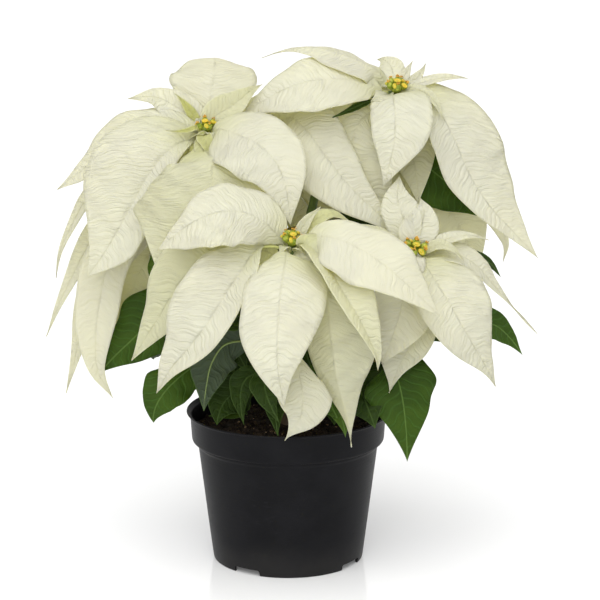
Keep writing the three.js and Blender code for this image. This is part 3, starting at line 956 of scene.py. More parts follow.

# %% Bracts of the right head
# On some of these rows the yellowing is painted shade: it colours olive the bracts that lie in the
# shadow of others.
grow_bracts({
    "right_1": row(
        "right", 0.985, 54, (-70, 22), 5, (97, -40, 235), (108, -52, 221), (118, -61, 206),
        (126, -64, 192), (136, -60, 174), (145, -55, 158), (151, -51, 145), quilt=0.45, point=0.7,
        widest=0.36, left=0.9, right=1.17),
    "right_2": row(
        "right", 0.93, 34, (-40, 20), 10, (102, -27, 222), (111, -26, 216), (123, -25, 208),
        (133, -24, 199), (145, -23, 180), (150, -22, 160), tint=0.2),
    "right_3": row(
        "right", 0.985, 34, (-80, 56), 22, (102, -30, 237), (114, -28, 239), (127, -26, 236),
        (139, -25, 228), (149, -23, 216), (161, -21, 202), (173, -18, 188), (184, -16, 176),
        widest=0.22, point=1.7, right=0.6, left=0.85),
    "right_4": row(
        "right", 0.99, 28, (-95, 25), 6, (87, -25, 250), (84, -20, 262), (80, -12, 275),
        (82, 2, 291), widest=0.5),
    "right_5": row(
        "right", 0.9, 46, (-95, 25), 8, (89, -36, 221), (84, -44, 208), (79, -50, 191),
        (73, -53, 174), (68, -52, 162)),
    "right_6": row(
        "right", 0.84, 46, (-90, 20), 8, (92, -30, 212), (93, -35, 194), (90, -40, 175),
        (81, -43, 157), (74, -44, 138), tint=0.1, right=0.72, widest=(0.5, 0.3), point=0.8,
        left=1.05),
})

# %% Bracts of the left head
# On some of these rows the yellowing is painted shade: it colours olive the bracts that lie in the
# shadow of others.
grow_bracts({
    "left_1": row(
        "left", 0.985, 66, (-90, 44), -5, (-59, 44, 339), (-57, 56, 352), (-56, 72, 361),
        (-56, 90, 366), (-55, 110, 361), shoulder=1.7, widest=0.5, point=0.2),
    "left_2": row(
        "left", 0.98, 27, (-100, 40), 12, (-63, 31, 319), (-71, 34, 328), (-83, 37, 336),
        (-97, 39, 343), (-119, 36, 343)),
    "left_3": row(
        "left", 0.985, 64, (-80, 40), 8, (-52, 20, 322), (-36, 8, 320), (-19, -7, 314),
        (-6, -18, 300), (0, -28, 282), (2, -36, 261), quilt=0.3, twist=0, left=1.1, right=0.85,
        widest=0.42, ripple=0.8),
    "left_4": row(
        "left", 0.94, 86, (-86, 20), 5, (-59, 6, 308), (-55, -8, 304), (-54, -20, 291),
        (-57, -31, 276), (-65, -40, 258), (-77, -44, 242), (-93, -46, 227), tint=0.22, quilt=0.45,
        left=1.08, widest=(0.8, 0.42), right=0.95, point=0.3, shoulder=3.2, bow=0.02),
    "left_5": row(
        "left", 0.975, 52, (-112, 50), 8, (-71, 26, 321), (-89, 23, 325), (-111, 20, 323),
        (-131, 17, 310), (-149, 13, 295), (-170, 10, 279), wave=2.0, right=0.45, left=0.78,
        widest=(0.45, 0.75)),
    "left_6": row(
        "left", 0.97, 66, (-98, 30), 14, (-72, 20, 314), (-88, 8, 308), (-101, -1, 293),
        (-114, -7, 271), (-126, -13, 249), (-137, -17, 232), (-147, -20, 219), quilt=0.5, twist=0,
        left=1.36, right=0.65, widest=(0.42, 0.75)),
    "left_7": row(
        "left", 0.9, 38, (-98, 8), 8, (-80, 24, 282), (-102, 18, 265), (-123, 12, 241),
        (-135, 8, 217), (-140, 4, 193), (-143, 1, 167), (-142, 0, 144), (-131, 0, 122), widest=0.6,
        right=0.82, ripple=0.6),
    "left_8": row(
        "left", 0.925, 30, (-110, 12), 10, (-83, 28, 281), (-114, 26, 245), (-141, 24, 211),
        (-153, 21, 181), (-160, 19, 151), (-168, 18, 121)),
    "left_9": row(
        "left", 0.945, 24, (-115, 20), 14, (-87, 35, 291), (-123, 43, 261), (-149, 48, 233),
        (-161, 50, 211), (-174, 50, 185), (-185, 48, 158)),
    "left_10": row(
        "left", 0.87, 54, (-92, 6), 8, (-72, 29, 274), (-84, 28, 259), (-96, 28, 240),
        (-107, 27, 221), (-119, 27, 194), (-131, 26, 165), tint=0.3),
})

# %% Bracts of the head at the back right
# On some of these rows the yellowing is painted shade: it colours olive the bracts that lie in the
# shadow of others.
grow_bracts({
    "back_right_1": row(
        "back_right", 0.975, 36, (-90, 74), -10, (73, 49, 353), (67, 50, 361), (55, 50, 368),
        (39, 52, 374), (22, 56, 378), (2, 61, 377), (-20, 62, 370), widest=0.27, right=1.1,
        left=0.9, point=1.1),
    "back_right_2": row(
        "back_right", 0.97, 58, (-92, 54), 6, (62, 37, 353), (55, 35, 355), (42, 33, 357),
        (25, 32, 357), (9, 32, 354), (-13, 35, 344), (-36, 40, 329), left=0.85, right=1.07,
        widest=0.45, ripple=0.85),
    "back_right_3": row("back_right", 0.985, 20, (-90, 30), 8, (77, 68, 362), (68, 84, 366)),
    "back_right_4": row(
        "back_right", 0.99, 46, (-92, 32), 5, (78, 26, 346), (79, 16, 336), (79, 6, 324),
        (77, -1, 310), (74, -4, 298), (70, -6, 284), stalk=0.02, shoulder=5.0, left=0.8, right=1.2,
        widest=(0.45, 0.36), quilt=0.55),
    "back_right_5": row(
        "back_right", 0.98, 60, (-66, 30), 8, (87, 40, 344), (100, 36, 343), (111, 31, 335),
        (123, 26, 315), (134, 21, 290), (151, 16, 264), (169, 14, 245), (186, 12, 227), quilt=0.7,
        twist=0, left=0.72, right=1.2, widest=(0.42, 0.45)),
    "back_right_6": row(
        "back_right", 0.992, 56, (-108, 26), 6, (66, 36, 334), (55, 33, 327), (49, 27, 315),
        (50, 21, 301), (58, 15, 285), (69, 11, 269), (81, 8, 255), tint=0.05, right=1.15),
    "back_right_7": row(
        "back_right", 0.955, 36, (-90, 11), 6, (78, 46, 333), (87, 45, 318), (93, 42, 303),
        (96, 32, 284), (97, 20, 266), tint=0.1),
    "back_right_8": row(
        "back_right", 0.965, 40, (-64, 12), 8, (91, 55, 330), (107, 66, 315), (125, 76, 296),
        (141, 82, 275), (155, 84, 252), (164, 82, 234), (168, 80, 222), (166, 78, 210)),
})

# %% Bracts of the head at the back
grow_bracts({
    "back_1": row(
        "back", 0.985, 76, (-84, 28), 8, (-8, 52, 319), (2, 40, 328), (13, 26, 322), (28, 12, 304),
        (47, -1, 282), (68, -8, 263), (86, -12, 246), quilt=0.45, twist=0, left=0.82, right=0.7,
        widest=(0.42, 0.2), shoulder=3.5),
    "back_2": row("back", 0.963, 56, (22, 40), 10, (54, 85.5, 274), (82, 96, 226)),
    "back_3": row("back", 0.985, 56, (86, 36), 10, (0, 102, 286), (8, 118, 228)),
    "back_4": row("back", 0.95, 56, (136, 36), 10, (-54, 92, 276), (-86, 104, 224)),
    "back_5": row("back", 0.9, 54, (70, 14), 8, (30, 106, 222), (44, 114, 164)),
    "back_6": row("back", 0.9, 54, (110, 14), 8, (-36, 106, 224), (-46, 114, 160)),
})

# %% [markdown]
# The youngest bracts stand among the cups. They are narrow and greener, almost flat between
# their veins, and each points its own way, so they have a table of their own, a lower relief
# and fewer cells.

# %% Young bracts beside the cups
# On most young bracts the yellowing is their real greener colour. On those in the shadow of others,
# such as front_c and back_right_f, it is painted shade.
YOUNG_BRACTS = {
    "front_a": row(
        "front", 0.99, 9, (-90, 20), 20, (8, -52, 256), (13, -50, 266), (24, -47, 277), tint=0.2),
    "front_b": row(
        "front", 0.99, 10, (-90, 30), 20, (-5, -52, 256), (-14, -51, 265), (-24, -50, 274),
        tint=0.3),
    "front_c": row(
        "front", 0.98, 16, (-90, 60), 10, (9, -50, 253), (18, -46, 266), (32, -42, 271),
        (46, -40, 264), tint=0.6),
    "right_a": row("right", 0.99, 11, (-90, 50), 12, (119, -24, 250), (147, -20, 247), tint=0.05),
    "right_b": row("right", 0.985, 10, (-90, 50), 12, (110, -36, 247), (128, -38, 235), tint=0.25),
    "right_c": row(
        "right", 0.98, 28, (-80, 20), 8, (92, -26, 250), (97, -21, 258), (99, -17, 267),
        (97, -14, 277), widest=0.5, shoulder=3.5, stalk=0.1),
    "right_d": row("right", 0.975, 13, (-90, 60), 10, (70, -32, 253), (40, -34, 262), tint=0.3),
    "left_a": row(
        "left", 0.95, 16, (-115, 30), 14, (-86, 32, 305), (-122, 36, 289), (-149, 40, 269),
        (-163, 42, 246), (-173, 42, 223), (-176, 42, 205)),
    "left_b": row(
        "left", 0.98, 24, (-90, 30), 24, (-55, 32, 329), (-41, 34, 338), (-28, 38, 348),
        (-19, 40, 353), tint=0.3),
    "left_c": row("left", 0.985, 9, (-90, 30), 12, (-71, 34, 332), (-84, 36, 347), tint=0.9),
    "left_d": row(
        "left", 0.985, 5, (-90, 40), 12, (-67, 22, 323), (-75, 16, 322), (-83, 12, 322),
        (-89, 10, 323), tint=0.9),
    "left_e": row("left", 0.99, 11, (-90, 30), 12, (-67, 21, 311), (-72, 10, 296), tint=0.8),
    "back_right_a": row("back_right", 0.99, 10, (-90, 55), 14, (110, 44, 356), (134, 42, 357)),
    "back_right_b": row("back_right", 0.985, 9, (-90, 20), 14, (86, 46, 357), (93, 52, 369)),
    "back_right_c": row("back_right", 0.985, 9, (-90, 20), 14, (94, 46, 355), (103, 52, 367)),
    "back_right_d": row(
        "back_right", 0.985, 10, (-80, 40), 12, (102, 32, 347), (115, 22, 327), tint=0.2),
    "back_right_e": row(
        "back_right", 0.945, 72, (-84, 34), 8, (87, 49, 319), (99, 52, 302), (112, 55, 278),
        (124, 56, 253), (137, 55, 228), (145, 52, 205), tint=0.08, widest=0.55),
    "back_right_f": row(
        "back_right", 0.94, 46, (-90, 10), 6, (78, 46, 333), (76, 44, 310), (79, 40, 288),
        (85, 34, 265), tint=0.3),
    "back_c": row(
        "back", 0.985, 56, (-90, 46), 6, (-20, 60, 309), (-21, 66, 318), (-20, 74, 328),
        (-19, 84, 336), (-19, 94, 341), tint=0.1),
    "front_d": row(
        "front", 0.985, 18, (-90, 20), 8, (9, -62, 245), (12, -67, 241), (15, -69, 233), tint=0.1),
    "right_f": row(
        "right", 0.985, 18, (-90, 20), 6, (91, -40, 239), (90, -47, 233), (87, -51, 225),
        (85, -52, 216)),
    "left_f": row(
        "left", 0.985, 15, (-90, 20), 8, (-62, 18, 313), (-62, 10, 306), (-64, 4, 296), tint=0.6),
    "left_g": row(
        "left", 0.975, 26, (-100, 30), 8, (-64, 27, 313), (-70, 25, 305), (-77, 20, 295),
        (-86, 13, 283), tint=0.5),
    "back_right_g": row(
        "back_right", 0.985, 16, (-95, 50), 8, (74, 34, 346), (69, 26, 346), (61, 22, 343),
        tint=0.2),
    "back_a": row("back", 0.985, 16, (60, 50), 12, (12, 66, 320), (30, 76, 318), tint=0.1),
    "left_h": row(
        "left", 0.985, 12, (-90, 20), 14, (-62, 19, 317), (-60, 14, 314), (-59, 11, 309),
        (-57, 9, 303), tint=0.75),
    "back_right_h": row(
        "back_right", 0.98, 17, (-90, 40), 8, (77, 45, 344), (73, 48, 345), (69, 51, 348),
        (64, 54, 351), tint=0.3),
    "back_b": row("back", 0.985, 14, (130, 50), 12, (-22, 66, 318), (-38, 74, 312), tint=0.1),
}
print("young bracts with a row:", len(YOUNG_BRACTS))

# %% [markdown]
# Close under each cluster of cups stands a collar of five narrow young bracts, a fifth of a
# turn apart and each a little different in length. They are so alike that a rule gives their
# rows, and only the compass angle of the first one is written down for each head.

# %% The collars, and all young bracts
COLLAR = {"front": 20, "right": 50, "left": 80, "back_right": 10, "back": 35}
for head_name, first_turn in COLLAR.items():
    top = on_branch(head_name, 1.0)[0]
    for i in range(5):
        around = math.radians(first_turn + 360 / 5 * i)
        out = np.array((math.cos(around), math.sin(around), 0.0))
        rise = np.array((0.0, 0.0, 1.0))
        middle = top + out * 8.5 + rise * (0.5 + i % 2)
        end = top + out * (15 + i % 3) - rise * (3.5 + 2 * (i % 2))
        YOUNG_BRACTS["%s_k%d" % (head_name, i + 1)] = row(
            head_name, 0.975, 9 + i % 3, (math.degrees(around), 55), 10, tuple(middle), tuple(end),
            tint=0.35 + 0.1 * (i % 3))
for bract_name, numbers in YOUNG_BRACTS.items():
    cells = TINY_CELLS if numbers["width"] < 20 else YOUNG_CELLS
    numbers = {"quilt": 0.15, "wave": 0.8, **numbers}
    blade("young_bract_" + bract_name, "bract", numbers, BRACT_SKINS, cells)
print("young bracts:", len(YOUNG_BRACTS))

# %% [markdown]
# More bracts of full size hang down at the back and at the sides. They close the plant where
# it is seen from there, and are made as the first ones are, but from fewer cells.

# %% Bracts that look away to the back
FAR_BRACTS = {
    "left_p": row("left", 0.97, 52, (140, 45), 8, (-98, 78, 322), (-134, 96, 282)),
    "left_q": row("left", 0.95, 46, (165, 35), 8, (-122, 58, 284), (-146, 76, 238)),
    "left_r": row("left", 0.96, 50, (100, 40), 8, (-60, 88, 316), (-66, 116, 270)),
    "back_right_p": row("back_right", 0.975, 52, (75, 40), 8, (96, 88, 332), (110, 116, 286)),
    "back_right_q": row("back_right", 0.96, 46, (30, 40), 8, (130, 72, 318), (160, 92, 272)),
    "back_right_r": row("back_right", 0.95, 46, (100, 35), 8, (56, 96, 322), (48, 120, 280)),
    "right_p": row("right", 0.97, 48, (50, 40), 8, (118, 14, 226), (140, 46, 188)),
    "right_q": row("right", 0.95, 46, (90, 35), 8, (84, 18, 224), (88, 54, 190)),
}
for bract_name, numbers in FAR_BRACTS.items():
    blade("far_bract_" + bract_name, "bract", numbers, BRACT_SKINS, FAR_CELLS)
print("far bracts:", len(FAR_BRACTS))

# %% [markdown]
# ## The leaves
# A leaf is made by the same rule as a bract, with a longer stalk, its own vein spacing and a
# few shallow lobes. The upper leaves hang between the heads, and the lower ones fan out over
# the rim of the pot and fill the inside of the plant. The leaves in the shade there have a
# darker copy of the green finish, which is painted shade, apart from those that are young and
# yellowish, which keep the usual finish with a yellowing of their own.

# %% Leaves that stand for solids
LEAVES = {
    "left_1": row(
        "left", 0.45, 46, (-98, 12), 6, (-69, 16, 205), (-84, 13, 195), (-99, 10, 183),
        (-114, 7, 168), (-128, 5, 155), (-141, 4, 141), twist=0, right=1.1),
    "left_2": row("left", 0.3, 38, (-110, 25), 10, (-84, -22, 140), (-99, -30, 112)),
    "front_1": row(
        "front", 0.4, 36, (95, 15), 5, (-17, -30, 171), (-31, -34, 175), (-46, -38, 173),
        (-55, -42, 161), (-59, -48, 145), (-61, -56, 128)),
    "front_2": row("front", 0.24, 20, (-85, 20), 8, (-30, -34, 146), (-32, -44, 114), deep=True),
    "front_3": row("front", 0.32, 22, (-95, 20), 8, (-16, -54, 150), (-6, -66, 122), deep=True),
    "front_4": row(
        "front", 0.45, 42, (-80, 10), 8, (4, -40, 166), (11, -46, 159), (19, -52, 150),
        (28, -58, 139), (36, -62, 124)),
    "right_1": row("right", 0.4, 54, (-80, 12), 6, (80, -30, 146), (88, -40, 85), twist=0),
    "right_2": row(
        "right", 0.6, 32, (-60, 35), 8, (96, -12, 178), (113, -5, 178), (128, 1, 180),
        (142, 5, 180), (155, 8, 176), (166, 11, 166), (176, 12, 153)),
    "back_right_1": row(
        "back_right", 0.702, 48, (-83, 21), 6, (108.5, 48, 286.5), (142.5, 44.5, 252.5)),
}
for leaf_name, numbers in LEAVES.items():
    # Leaves marked deep stand in the shade and get the darker finish, which is painted shade.
    top = leaf_painted_shade if numbers.get("deep") else leaf_top
    blade("green_leaf_" + leaf_name, "leaf", numbers, (top, leaf_under, leaf_stalk),
          node="leaf_" + leaf_name)
print("leaves that stand for solids:", len(LEAVES))

# %% Leaves inside and at the back
INNER_LEAVES = {
    "front_a": row("front", 0.2, 18, (-90, 20), 8, (-8, -46, 136), (-7, -66, 112)),
    "front_b": row("front", 0.3, 20, (-80, 15), 8, (30, -50, 138), (42, -66, 111), tint=0.5),
    "right_a": row(
        "right", 0.75, 17, (-70, 30), 8, (99, -12, 209), (112, -2, 219), (126, 10, 223),
        (139, 20, 225), (150, 26, 221), (160, 30, 209)),
    "right_b": row(
        "right", 0.55, 18, (-80, 25), 8, (83, -13, 177), (92, -10, 178), (99, -8, 177),
        (108, -6, 173), (117, -4, 166)),
    "left_a": row("left", 0.75, 20, (-90, 20), 8, (-90, 22, 226), (-102, 18, 208), tint=0.9),
    "left_b": row("left", 0.1, 16, (-90, 40), 12, (-36, -8, 118), (-58, -30, 117), tint=0.6),
    "in_1": row("left", 0.35, 48, (-95, 12), 8, (-60, -6, 160), (-78, -20, 128)),
    "in_2": row("left", 0.55, 52, (-92, 10), 8, (-50, -4, 190), (-30, -24, 150)),
    "in_3": row("front", 0.15, 36, (-95, 20), 8, (-38, -20, 132), (-52, -38, 112)),
    "in_4": row("front", 0.15, 34, (-85, 18), 8, (26, -30, 134), (34, -52, 116)),
    "in_5": row("right", 0.25, 44, (-85, 14), 8, (52, -26, 138), (64, -46, 112)),
    "in_6": row("right", 0.3, 50, (-92, 8), 8, (58, 6, 170), (44, -20, 140)),
    "side_g": row(
        "back_right", 0.955, 5.5, (-90, 30), 8, (62, 32, 342), (54, 31, 339), (45, 29, 335),
        (33, 27, 330)),
    "in_7": row("back_right", 0.45, 54, (-88, 16), 8, (60, 30, 262), (80, 10, 220)),
    "in_8": row("left", 0.8, 52, (-80, 18), 8, (-40, 40, 268), (-10, 20, 234)),
    "in_9": row("back", 0.6, 52, (-110, 30), 8, (-96, 44, 256), (-128, 40, 226)),
    "in_10": row(
        "front", 0.42, 62, (-90, 6), 8, (6, -10, 200), (8, -18, 183), (13, -26, 166),
        (20, -34, 145), (28, -40, 130)),
    "in_11": row("left", 0.3, 52, (-90, 10), 8, (-40, -6, 158), (-36, -22, 118)),
    "in_12": row("right", 0.35, 46, (-90, 8), 8, (66, -8, 160), (70, -22, 128)),
    "side_a": row("right", 0.62, 40, (10, 25), 8, (116, 2, 196), (142, 6, 160)),
    "side_b": row("back_right", 0.3, 50, (0, 25), 8, (84, 42, 216), (118, 36, 172)),
    "side_c": row("left", 0.62, 40, (178, 25), 8, (-98, 58, 226), (-122, 64, 184)),
    "side_d": row("back", 0.5, 50, (170, 25), 8, (-66, 62, 214), (-104, 62, 168)),
    "side_e": row("front", 0.55, 38, (0, 20), 8, (38, -34, 190), (58, -30, 150)),
    "side_f": row("front", 0.6, 38, (180, 20), 8, (-42, -30, 190), (-62, -24, 152)),
    "back_a": row("back", 0.35, 50, (120, 20), 8, (-50, 80, 150), (-78, 104, 112)),
    "back_b": row("back", 0.45, 54, (85, 18), 8, (4, 98, 170), (10, 114, 116)),
    "back_c": row("back", 0.3, 50, (50, 20), 8, (52, 78, 150), (84, 98, 114)),
    "back_d": row(
        "left", 0.35, 48, (165, 25), 8, (-52, 20, 173), (-71, 36, 164), (-87, 46, 154),
        (-103, 56, 145), (-116, 60, 136)),
    "back_e": row("left", 0.55, 46, (150, 25), 8, (-112, 52, 196), (-140, 70, 152)),
    "back_f": row(
        "right", 0.35, 46, (20, 25), 8, (66, 0, 152), (75, 9, 156), (88, 24, 153), (97, 36, 144),
        (104, 44, 131)),
    "back_g": row("right", 0.5, 44, (40, 25), 8, (110, 26, 180), (132, 62, 150)),
    "back_h": row("back_right", 0.35, 48, (50, 20), 8, (66, 90, 222), (96, 110, 180)),
    "back_i": row("back", 0.6, 48, (95, 16), 8, (-14, 100, 226), (-16, 118, 178)),
    "back_j": row("back", 0.65, 48, (130, 20), 8, (-60, 84, 232), (-92, 100, 194)),
    "back_k": row("back", 0.7, 46, (60, 20), 8, (46, 90, 232), (72, 108, 194)),
}
for leaf_name, numbers in INNER_LEAVES.items():
    # Inner leaves without a yellowing of their own get the darker finish, which is painted shade.
    top = leaf_top if "tint" in numbers else leaf_painted_shade
    skins = (top, leaf_under, leaf_stalk)
    blade("inner_leaf_" + leaf_name, "leaf", numbers, skins, INNER_CELLS)
print("inner leaves:", len(INNER_LEAVES))

# %% [markdown]
# ## The flower cups
# The true flowers are the small green cups in the middle of each head. A cup is an urn with a
# narrow rolled mouth, orange anthers on short stalks standing in it and one yellow gland at its
# side, a pouch with a hollow pushed into its top. Each of these shapes is modelled once. They
# are copied, tilted and joined into one cluster for each head, which sits on a green cushion.
#
# The cups and glands are waxy and the pollen is powdery, and all are speckled. One rule makes
# the three finishes: a colour, patches of a second colour and fine raised dots. They differ
# only in those colours and in how fine and how high the dots are.

# %% Cup finishes


def dotted_finish(name, body, patch, dots_scale, rough, bump):
    """The colour body with patches of the colour patch, and a fine grain of raised dots."""
    skin = Skin(name)
    place = skin.place()
    patches = skin.noise(place, 420.0, 3.0)
    dots = skin.noise(place, dots_scale, 2.0)
    colour = skin.blend(skin.step(patches, 0.42, 0.62), body, patch)
    normal = skin.bump(dots, bump, 0.0003)
    return skin.finish(skin.surface(colour, rough + (dots - 0.5) * 0.25, normal, 0.45))


cup_green = dotted_finish(
    "cup_green", rgb(0.17, 0.23, 0.012), rgb(0.38, 0.42, 0.05), 2600.0, 0.42, 0.4)
gland_yellow = dotted_finish(
    "gland_yellow", rgb(0.60, 0.43, 0.025), rgb(0.46, 0.42, 0.035), 3200.0, 0.3, 0.25)
pollen_orange = dotted_finish(
    "pollen_orange", rgb(0.66, 0.37, 0.035), rgb(0.45, 0.23, 0.025), 5200.0, 0.7, 0.8)
print("cup finishes ready")

# %% One urn, one gland and one anther
urn = turned("urn", [
    (0.9, 0.0), (1.5, 0.5), (2.2, 1.5), (2.6, 2.8), (2.55, 4.0), (2.1, 5.2), (1.6, 5.9),
    (1.35, 6.3), (1.5, 6.8), (1.2, 6.9), (0.9, 6.2), (0.3, 5.9),
], 14)
dress(urn, cup_green)

deselect()
bpy.ops.mesh.primitive_uv_sphere_add(segments=14, ring_count=9, radius=1.0 * MM)
gland = active("gland")
gland.scale = (2.7, 1.7, 1.7)
settle(gland)
edit_faces(gland, lambda face: face.normal.z > 0.55)
bpy.ops.mesh.inset(thickness=0.18 * MM, depth=0)
bpy.ops.mesh.extrude_region_move(TRANSFORM_OT_translate={"value": (0, 0, -0.55 * MM)})
bpy.ops.transform.resize(value=(0.75, 0.6, 1))
bpy.ops.object.mode_set(mode="OBJECT")
apply_modifier(gland, "SUBSURF", levels=1, render_levels=1)
dress(gland, gland_yellow)

deselect()
bpy.ops.mesh.primitive_ico_sphere_add(subdivisions=2, radius=0.52 * MM, location=(0, 0, 1.3 * MM))
anther_head = active("anther_head")
dress(anther_head, pollen_orange)
anther_stalk = turned("anther_stalk", [(0.17, -0.4), (0.15, 0.6), (0.12, 1.2)], 6)
dress(anther_stalk, gland_yellow)
anther = joined("anther", [anther_stalk, anther_head])
print("cup shapes:", [len(shape.data.polygons) for shape in (urn, gland, anther)])

# %% A cluster of cups
UPRIGHT = Vector((0, 0, 1))
CUSHION = [(2.6, -1.2), (3.1, 0.4), (4.4, 2.0), (5.0, 3.4), (4.4, 4.6), (2.8, 5.4), (0.3, 5.6)]


def copy_at(shape, place, lean=(0, 0, 0), size=1.0):
    twin = twin_of(shape, place, lean, (size, size, size))
    settle(twin)
    return twin


def one_cup(label, anthers, chance):
    """An urn with its gland, and anthers in a spiral that fills its mouth."""
    parts = [copy_at(urn, (0, 0, 0))]
    for i in range(anthers):
        angle = i * 2.4 + chance.uniform(-0.3, 0.3)
        out = 0.25 + 0.55 * (i / max(1, anthers - 1)) ** 0.5
        place = (out * math.cos(angle), out * math.sin(angle), 6.0 + chance.uniform(0, 0.9))
        lean = (-28 * out * math.sin(angle), 28 * out * math.cos(angle), 0)
        parts.append(copy_at(anther, place, lean, chance.uniform(0.8, 1.15)))
    parts.append(copy_at(gland, (0, -2.35, 4.9), (42, 0, 0)))
    return joined(label, parts)


def flower_head(name, cups):
    """cups: distance out, compass angle, height, lean, number of anthers and size of each."""
    end, along = on_branch(name, 1.0)
    up = direction(*BRANCHES[name]["looks"])
    foot = end + up * (SEAT + BRANCH_RADIUS * math.sqrt(1 - float(along @ up) ** 2))
    chance = random.Random("cups_" + name)
    cushion = turned("cushion", CUSHION, 18)
    dress(cushion, cup_green)
    parts = [cushion]
    for i, (out, angle, height, lean, anthers, size) in enumerate(cups):
        cup = one_cup("cup_%d" % i, anthers, chance)
        a = math.radians(angle)
        cup.rotation_euler = (0, math.radians(lean), a)
        cup.location = Vector((out * math.cos(a), out * math.sin(a), height)) * MM
        cup.scale = (size, size, size)
        settle(cup)
        parts.append(cup)
    head = joined("cups_" + name, parts)
    head.rotation_mode = "QUATERNION"
    head.rotation_quaternion = UPRIGHT.rotation_difference(Vector(up))
    head.location = Vector(foot) * MM
    carry(head, "cyathium_green", "flower_centre_" + name)


print("cluster helpers ready")

# %% The five heads
HEADS = {
    "front": [
        (0, 0, 4.6, 0, 7, 1.05), (4.4, -150, 3.0, 24, 5, 1.0), (4.6, -80, 2.6, 20, 5, 0.95),
        (4.3, -20, 3.2, 26, 6, 1.0), (4.2, 70, 3.4, 20, 5, 0.95), (4.4, 140, 3.0, 22, 4, 0.9)],
    "right": [
        (0, 0, 4.8, 0, 9, 1.15), (5.2, -160, 2.8, 28, 8, 1.1), (5.4, -100, 2.2, 22, 6, 1.1),
        (5.2, -40, 2.6, 26, 8, 1.1), (5.0, 20, 3.4, 26, 7, 1.05), (4.6, 90, 3.4, 20, 6, 1.0),
        (4.6, 150, 3.2, 22, 6, 1.0)],
    "left": [
        (0, 0, 4.6, 0, 8, 1.0), (4.2, -140, 2.8, 24, 6, 0.95), (4.4, -60, 2.6, 22, 6, 0.95),
        (4.2, 20, 3.2, 22, 5, 0.9), (4.2, 110, 3.2, 20, 5, 0.9)],
    "back_right": [
        (0, 0, 4.6, 0, 8, 1.05), (4.4, -150, 2.8, 26, 7, 1.0), (4.6, -85, 2.4, 20, 6, 1.0),
        (4.4, -20, 2.8, 26, 7, 1.0), (4.2, 60, 3.4, 20, 5, 0.9), (4.2, 140, 3.2, 20, 5, 0.9)],
    "back": [
        (0, 0, 4.6, 0, 7, 1.0), (4.2, -130, 2.8, 22, 5, 0.9), (4.2, -40, 2.8, 22, 5, 0.9),
        (4.4, 40, 2.8, 24, 6, 0.95), (4.4, 120, 2.8, 24, 6, 0.95)],
}
for head_name, cups in HEADS.items():
    flower_head(head_name, cups)
discard(urn, gland, anther)
print("flower heads:", list(HEADS))

# %% [markdown]
# ## The pot
# A nursery pot is one thin moulded shell: a body that widens upwards, a deep band under the
# rim that stiffens it and ends in a thin lip, a foot ring with notches and a floor with drain
# holes. All of that is round, so one closed outline is spun about the middle. The holes and
# the notches are cut afterwards with Boolean, as they would be made by pins in the mould.

# %% The pot's outline


def rounded(outline_points, radius, steps=4):
    """The same outline with each corner eased by the radius, in millimetres."""
    eased = [outline_points[0]]
    for before, corner, after in zip(outline_points, outline_points[1:], outline_points[2:]):
        before, corner, after = (np.array(p, float) for p in (before, corner, after))
        back, ahead = before - corner, after - corner
        reach = min(radius, np.linalg.norm(back) * 0.45, np.linalg.norm(ahead) * 0.45)
        start, end = corner + unit(back) * reach, corner + unit(ahead) * reach
        for i in range(steps + 1):
            t = i / steps
            eased.append(tuple((1 - t) ** 2 * start + 2 * t * (1 - t) * corner + t * t * end))
    return eased + [outline_points[-1]]


FOOT_RADIUS, TOP_RADIUS = 57.0, 67.4  # of the body, where it starts and under the band
FOOT_HEIGHT, BODY_HEIGHT = 4, 84
WALL = 1.6


def body_radius(height):
    return FOOT_RADIUS + (TOP_RADIUS - FOOT_RADIUS) * (height - FOOT_HEIGHT) / BODY_HEIGHT


foot_ring = [(0.0, 7.0), (54.0, 7.0), (54.2, 0.0), (56.2, 0.0), (56.9, 4.0)]
outer_band = [
    (67.4, 87.6), (68.3, 89.2), (68.4, 91.0), (71.6, 91.8), (72.1, 93.2), (72.7, 102.0),
    (73.3, 110.8)]
lip = [(73.7, 112.2), (75.7, 112.7), (76.0, 113.3), (75.7, 114.0), (75.1, 114.0)]
inner_band = [(72.3, 111.6), (71.6, 108.0), (70.6, 95.6), (67.2, 93.8), (65.8, 88.0)]
POT_OUTLINE = (
    foot_ring + [(body_radius(h), h) for h in (30, 60, 84)] + outer_band + lip + inner_band
    + [(body_radius(h) - WALL, h) for h in (60, 30, 12)] + [(54.4, 9.0), (0.0, 9.0)])
pot_line = rounded(POT_OUTLINE, 1.0)
print("pot outline:", len(pot_line), "points")

# %% Spin the outline
deselect()
pot_mesh = bpy.data.meshes.new("nursery_pot")
pot_mesh.from_pydata(
    [(r * MM, 0, z * MM) for r, z in pot_line], [(i, i + 1) for i in range(len(pot_line) - 1)], [])
pot = bpy.data.objects.new("nursery_pot", pot_mesh)
bpy.context.scene.collection.objects.link(pot)
pot.select_set(True)
bpy.context.view_layer.objects.active = pot
edit()
bpy.ops.mesh.spin(steps=144, angle=2 * math.pi, center=(0, 0, 0), axis=(0, 0, 1))
close_up()
print("pot faces:", len(pot.data.polygons))

# %% Cut the notches and the drain holes
NOTCH_SIZE = (14, 22, 7)
NOTCH_RING, DRAIN_RING = 55, 40
DRAIN_RADIUS = 4.5


def cut(thing, cutters):
    tool = joined("cutter", cutters)
    apply_modifier(thing, "BOOLEAN", operation="DIFFERENCE", solver="EXACT", object=tool)
    discard(tool)


def ring_of(count, first, radius, height):
    """The angle and the place of each of count holes in a ring."""
    for i in range(count):
        angle = math.radians(first + 360 / count * i)
        place = (radius * math.cos(angle) * MM, radius * math.sin(angle) * MM, height * MM)
        yield angle, place


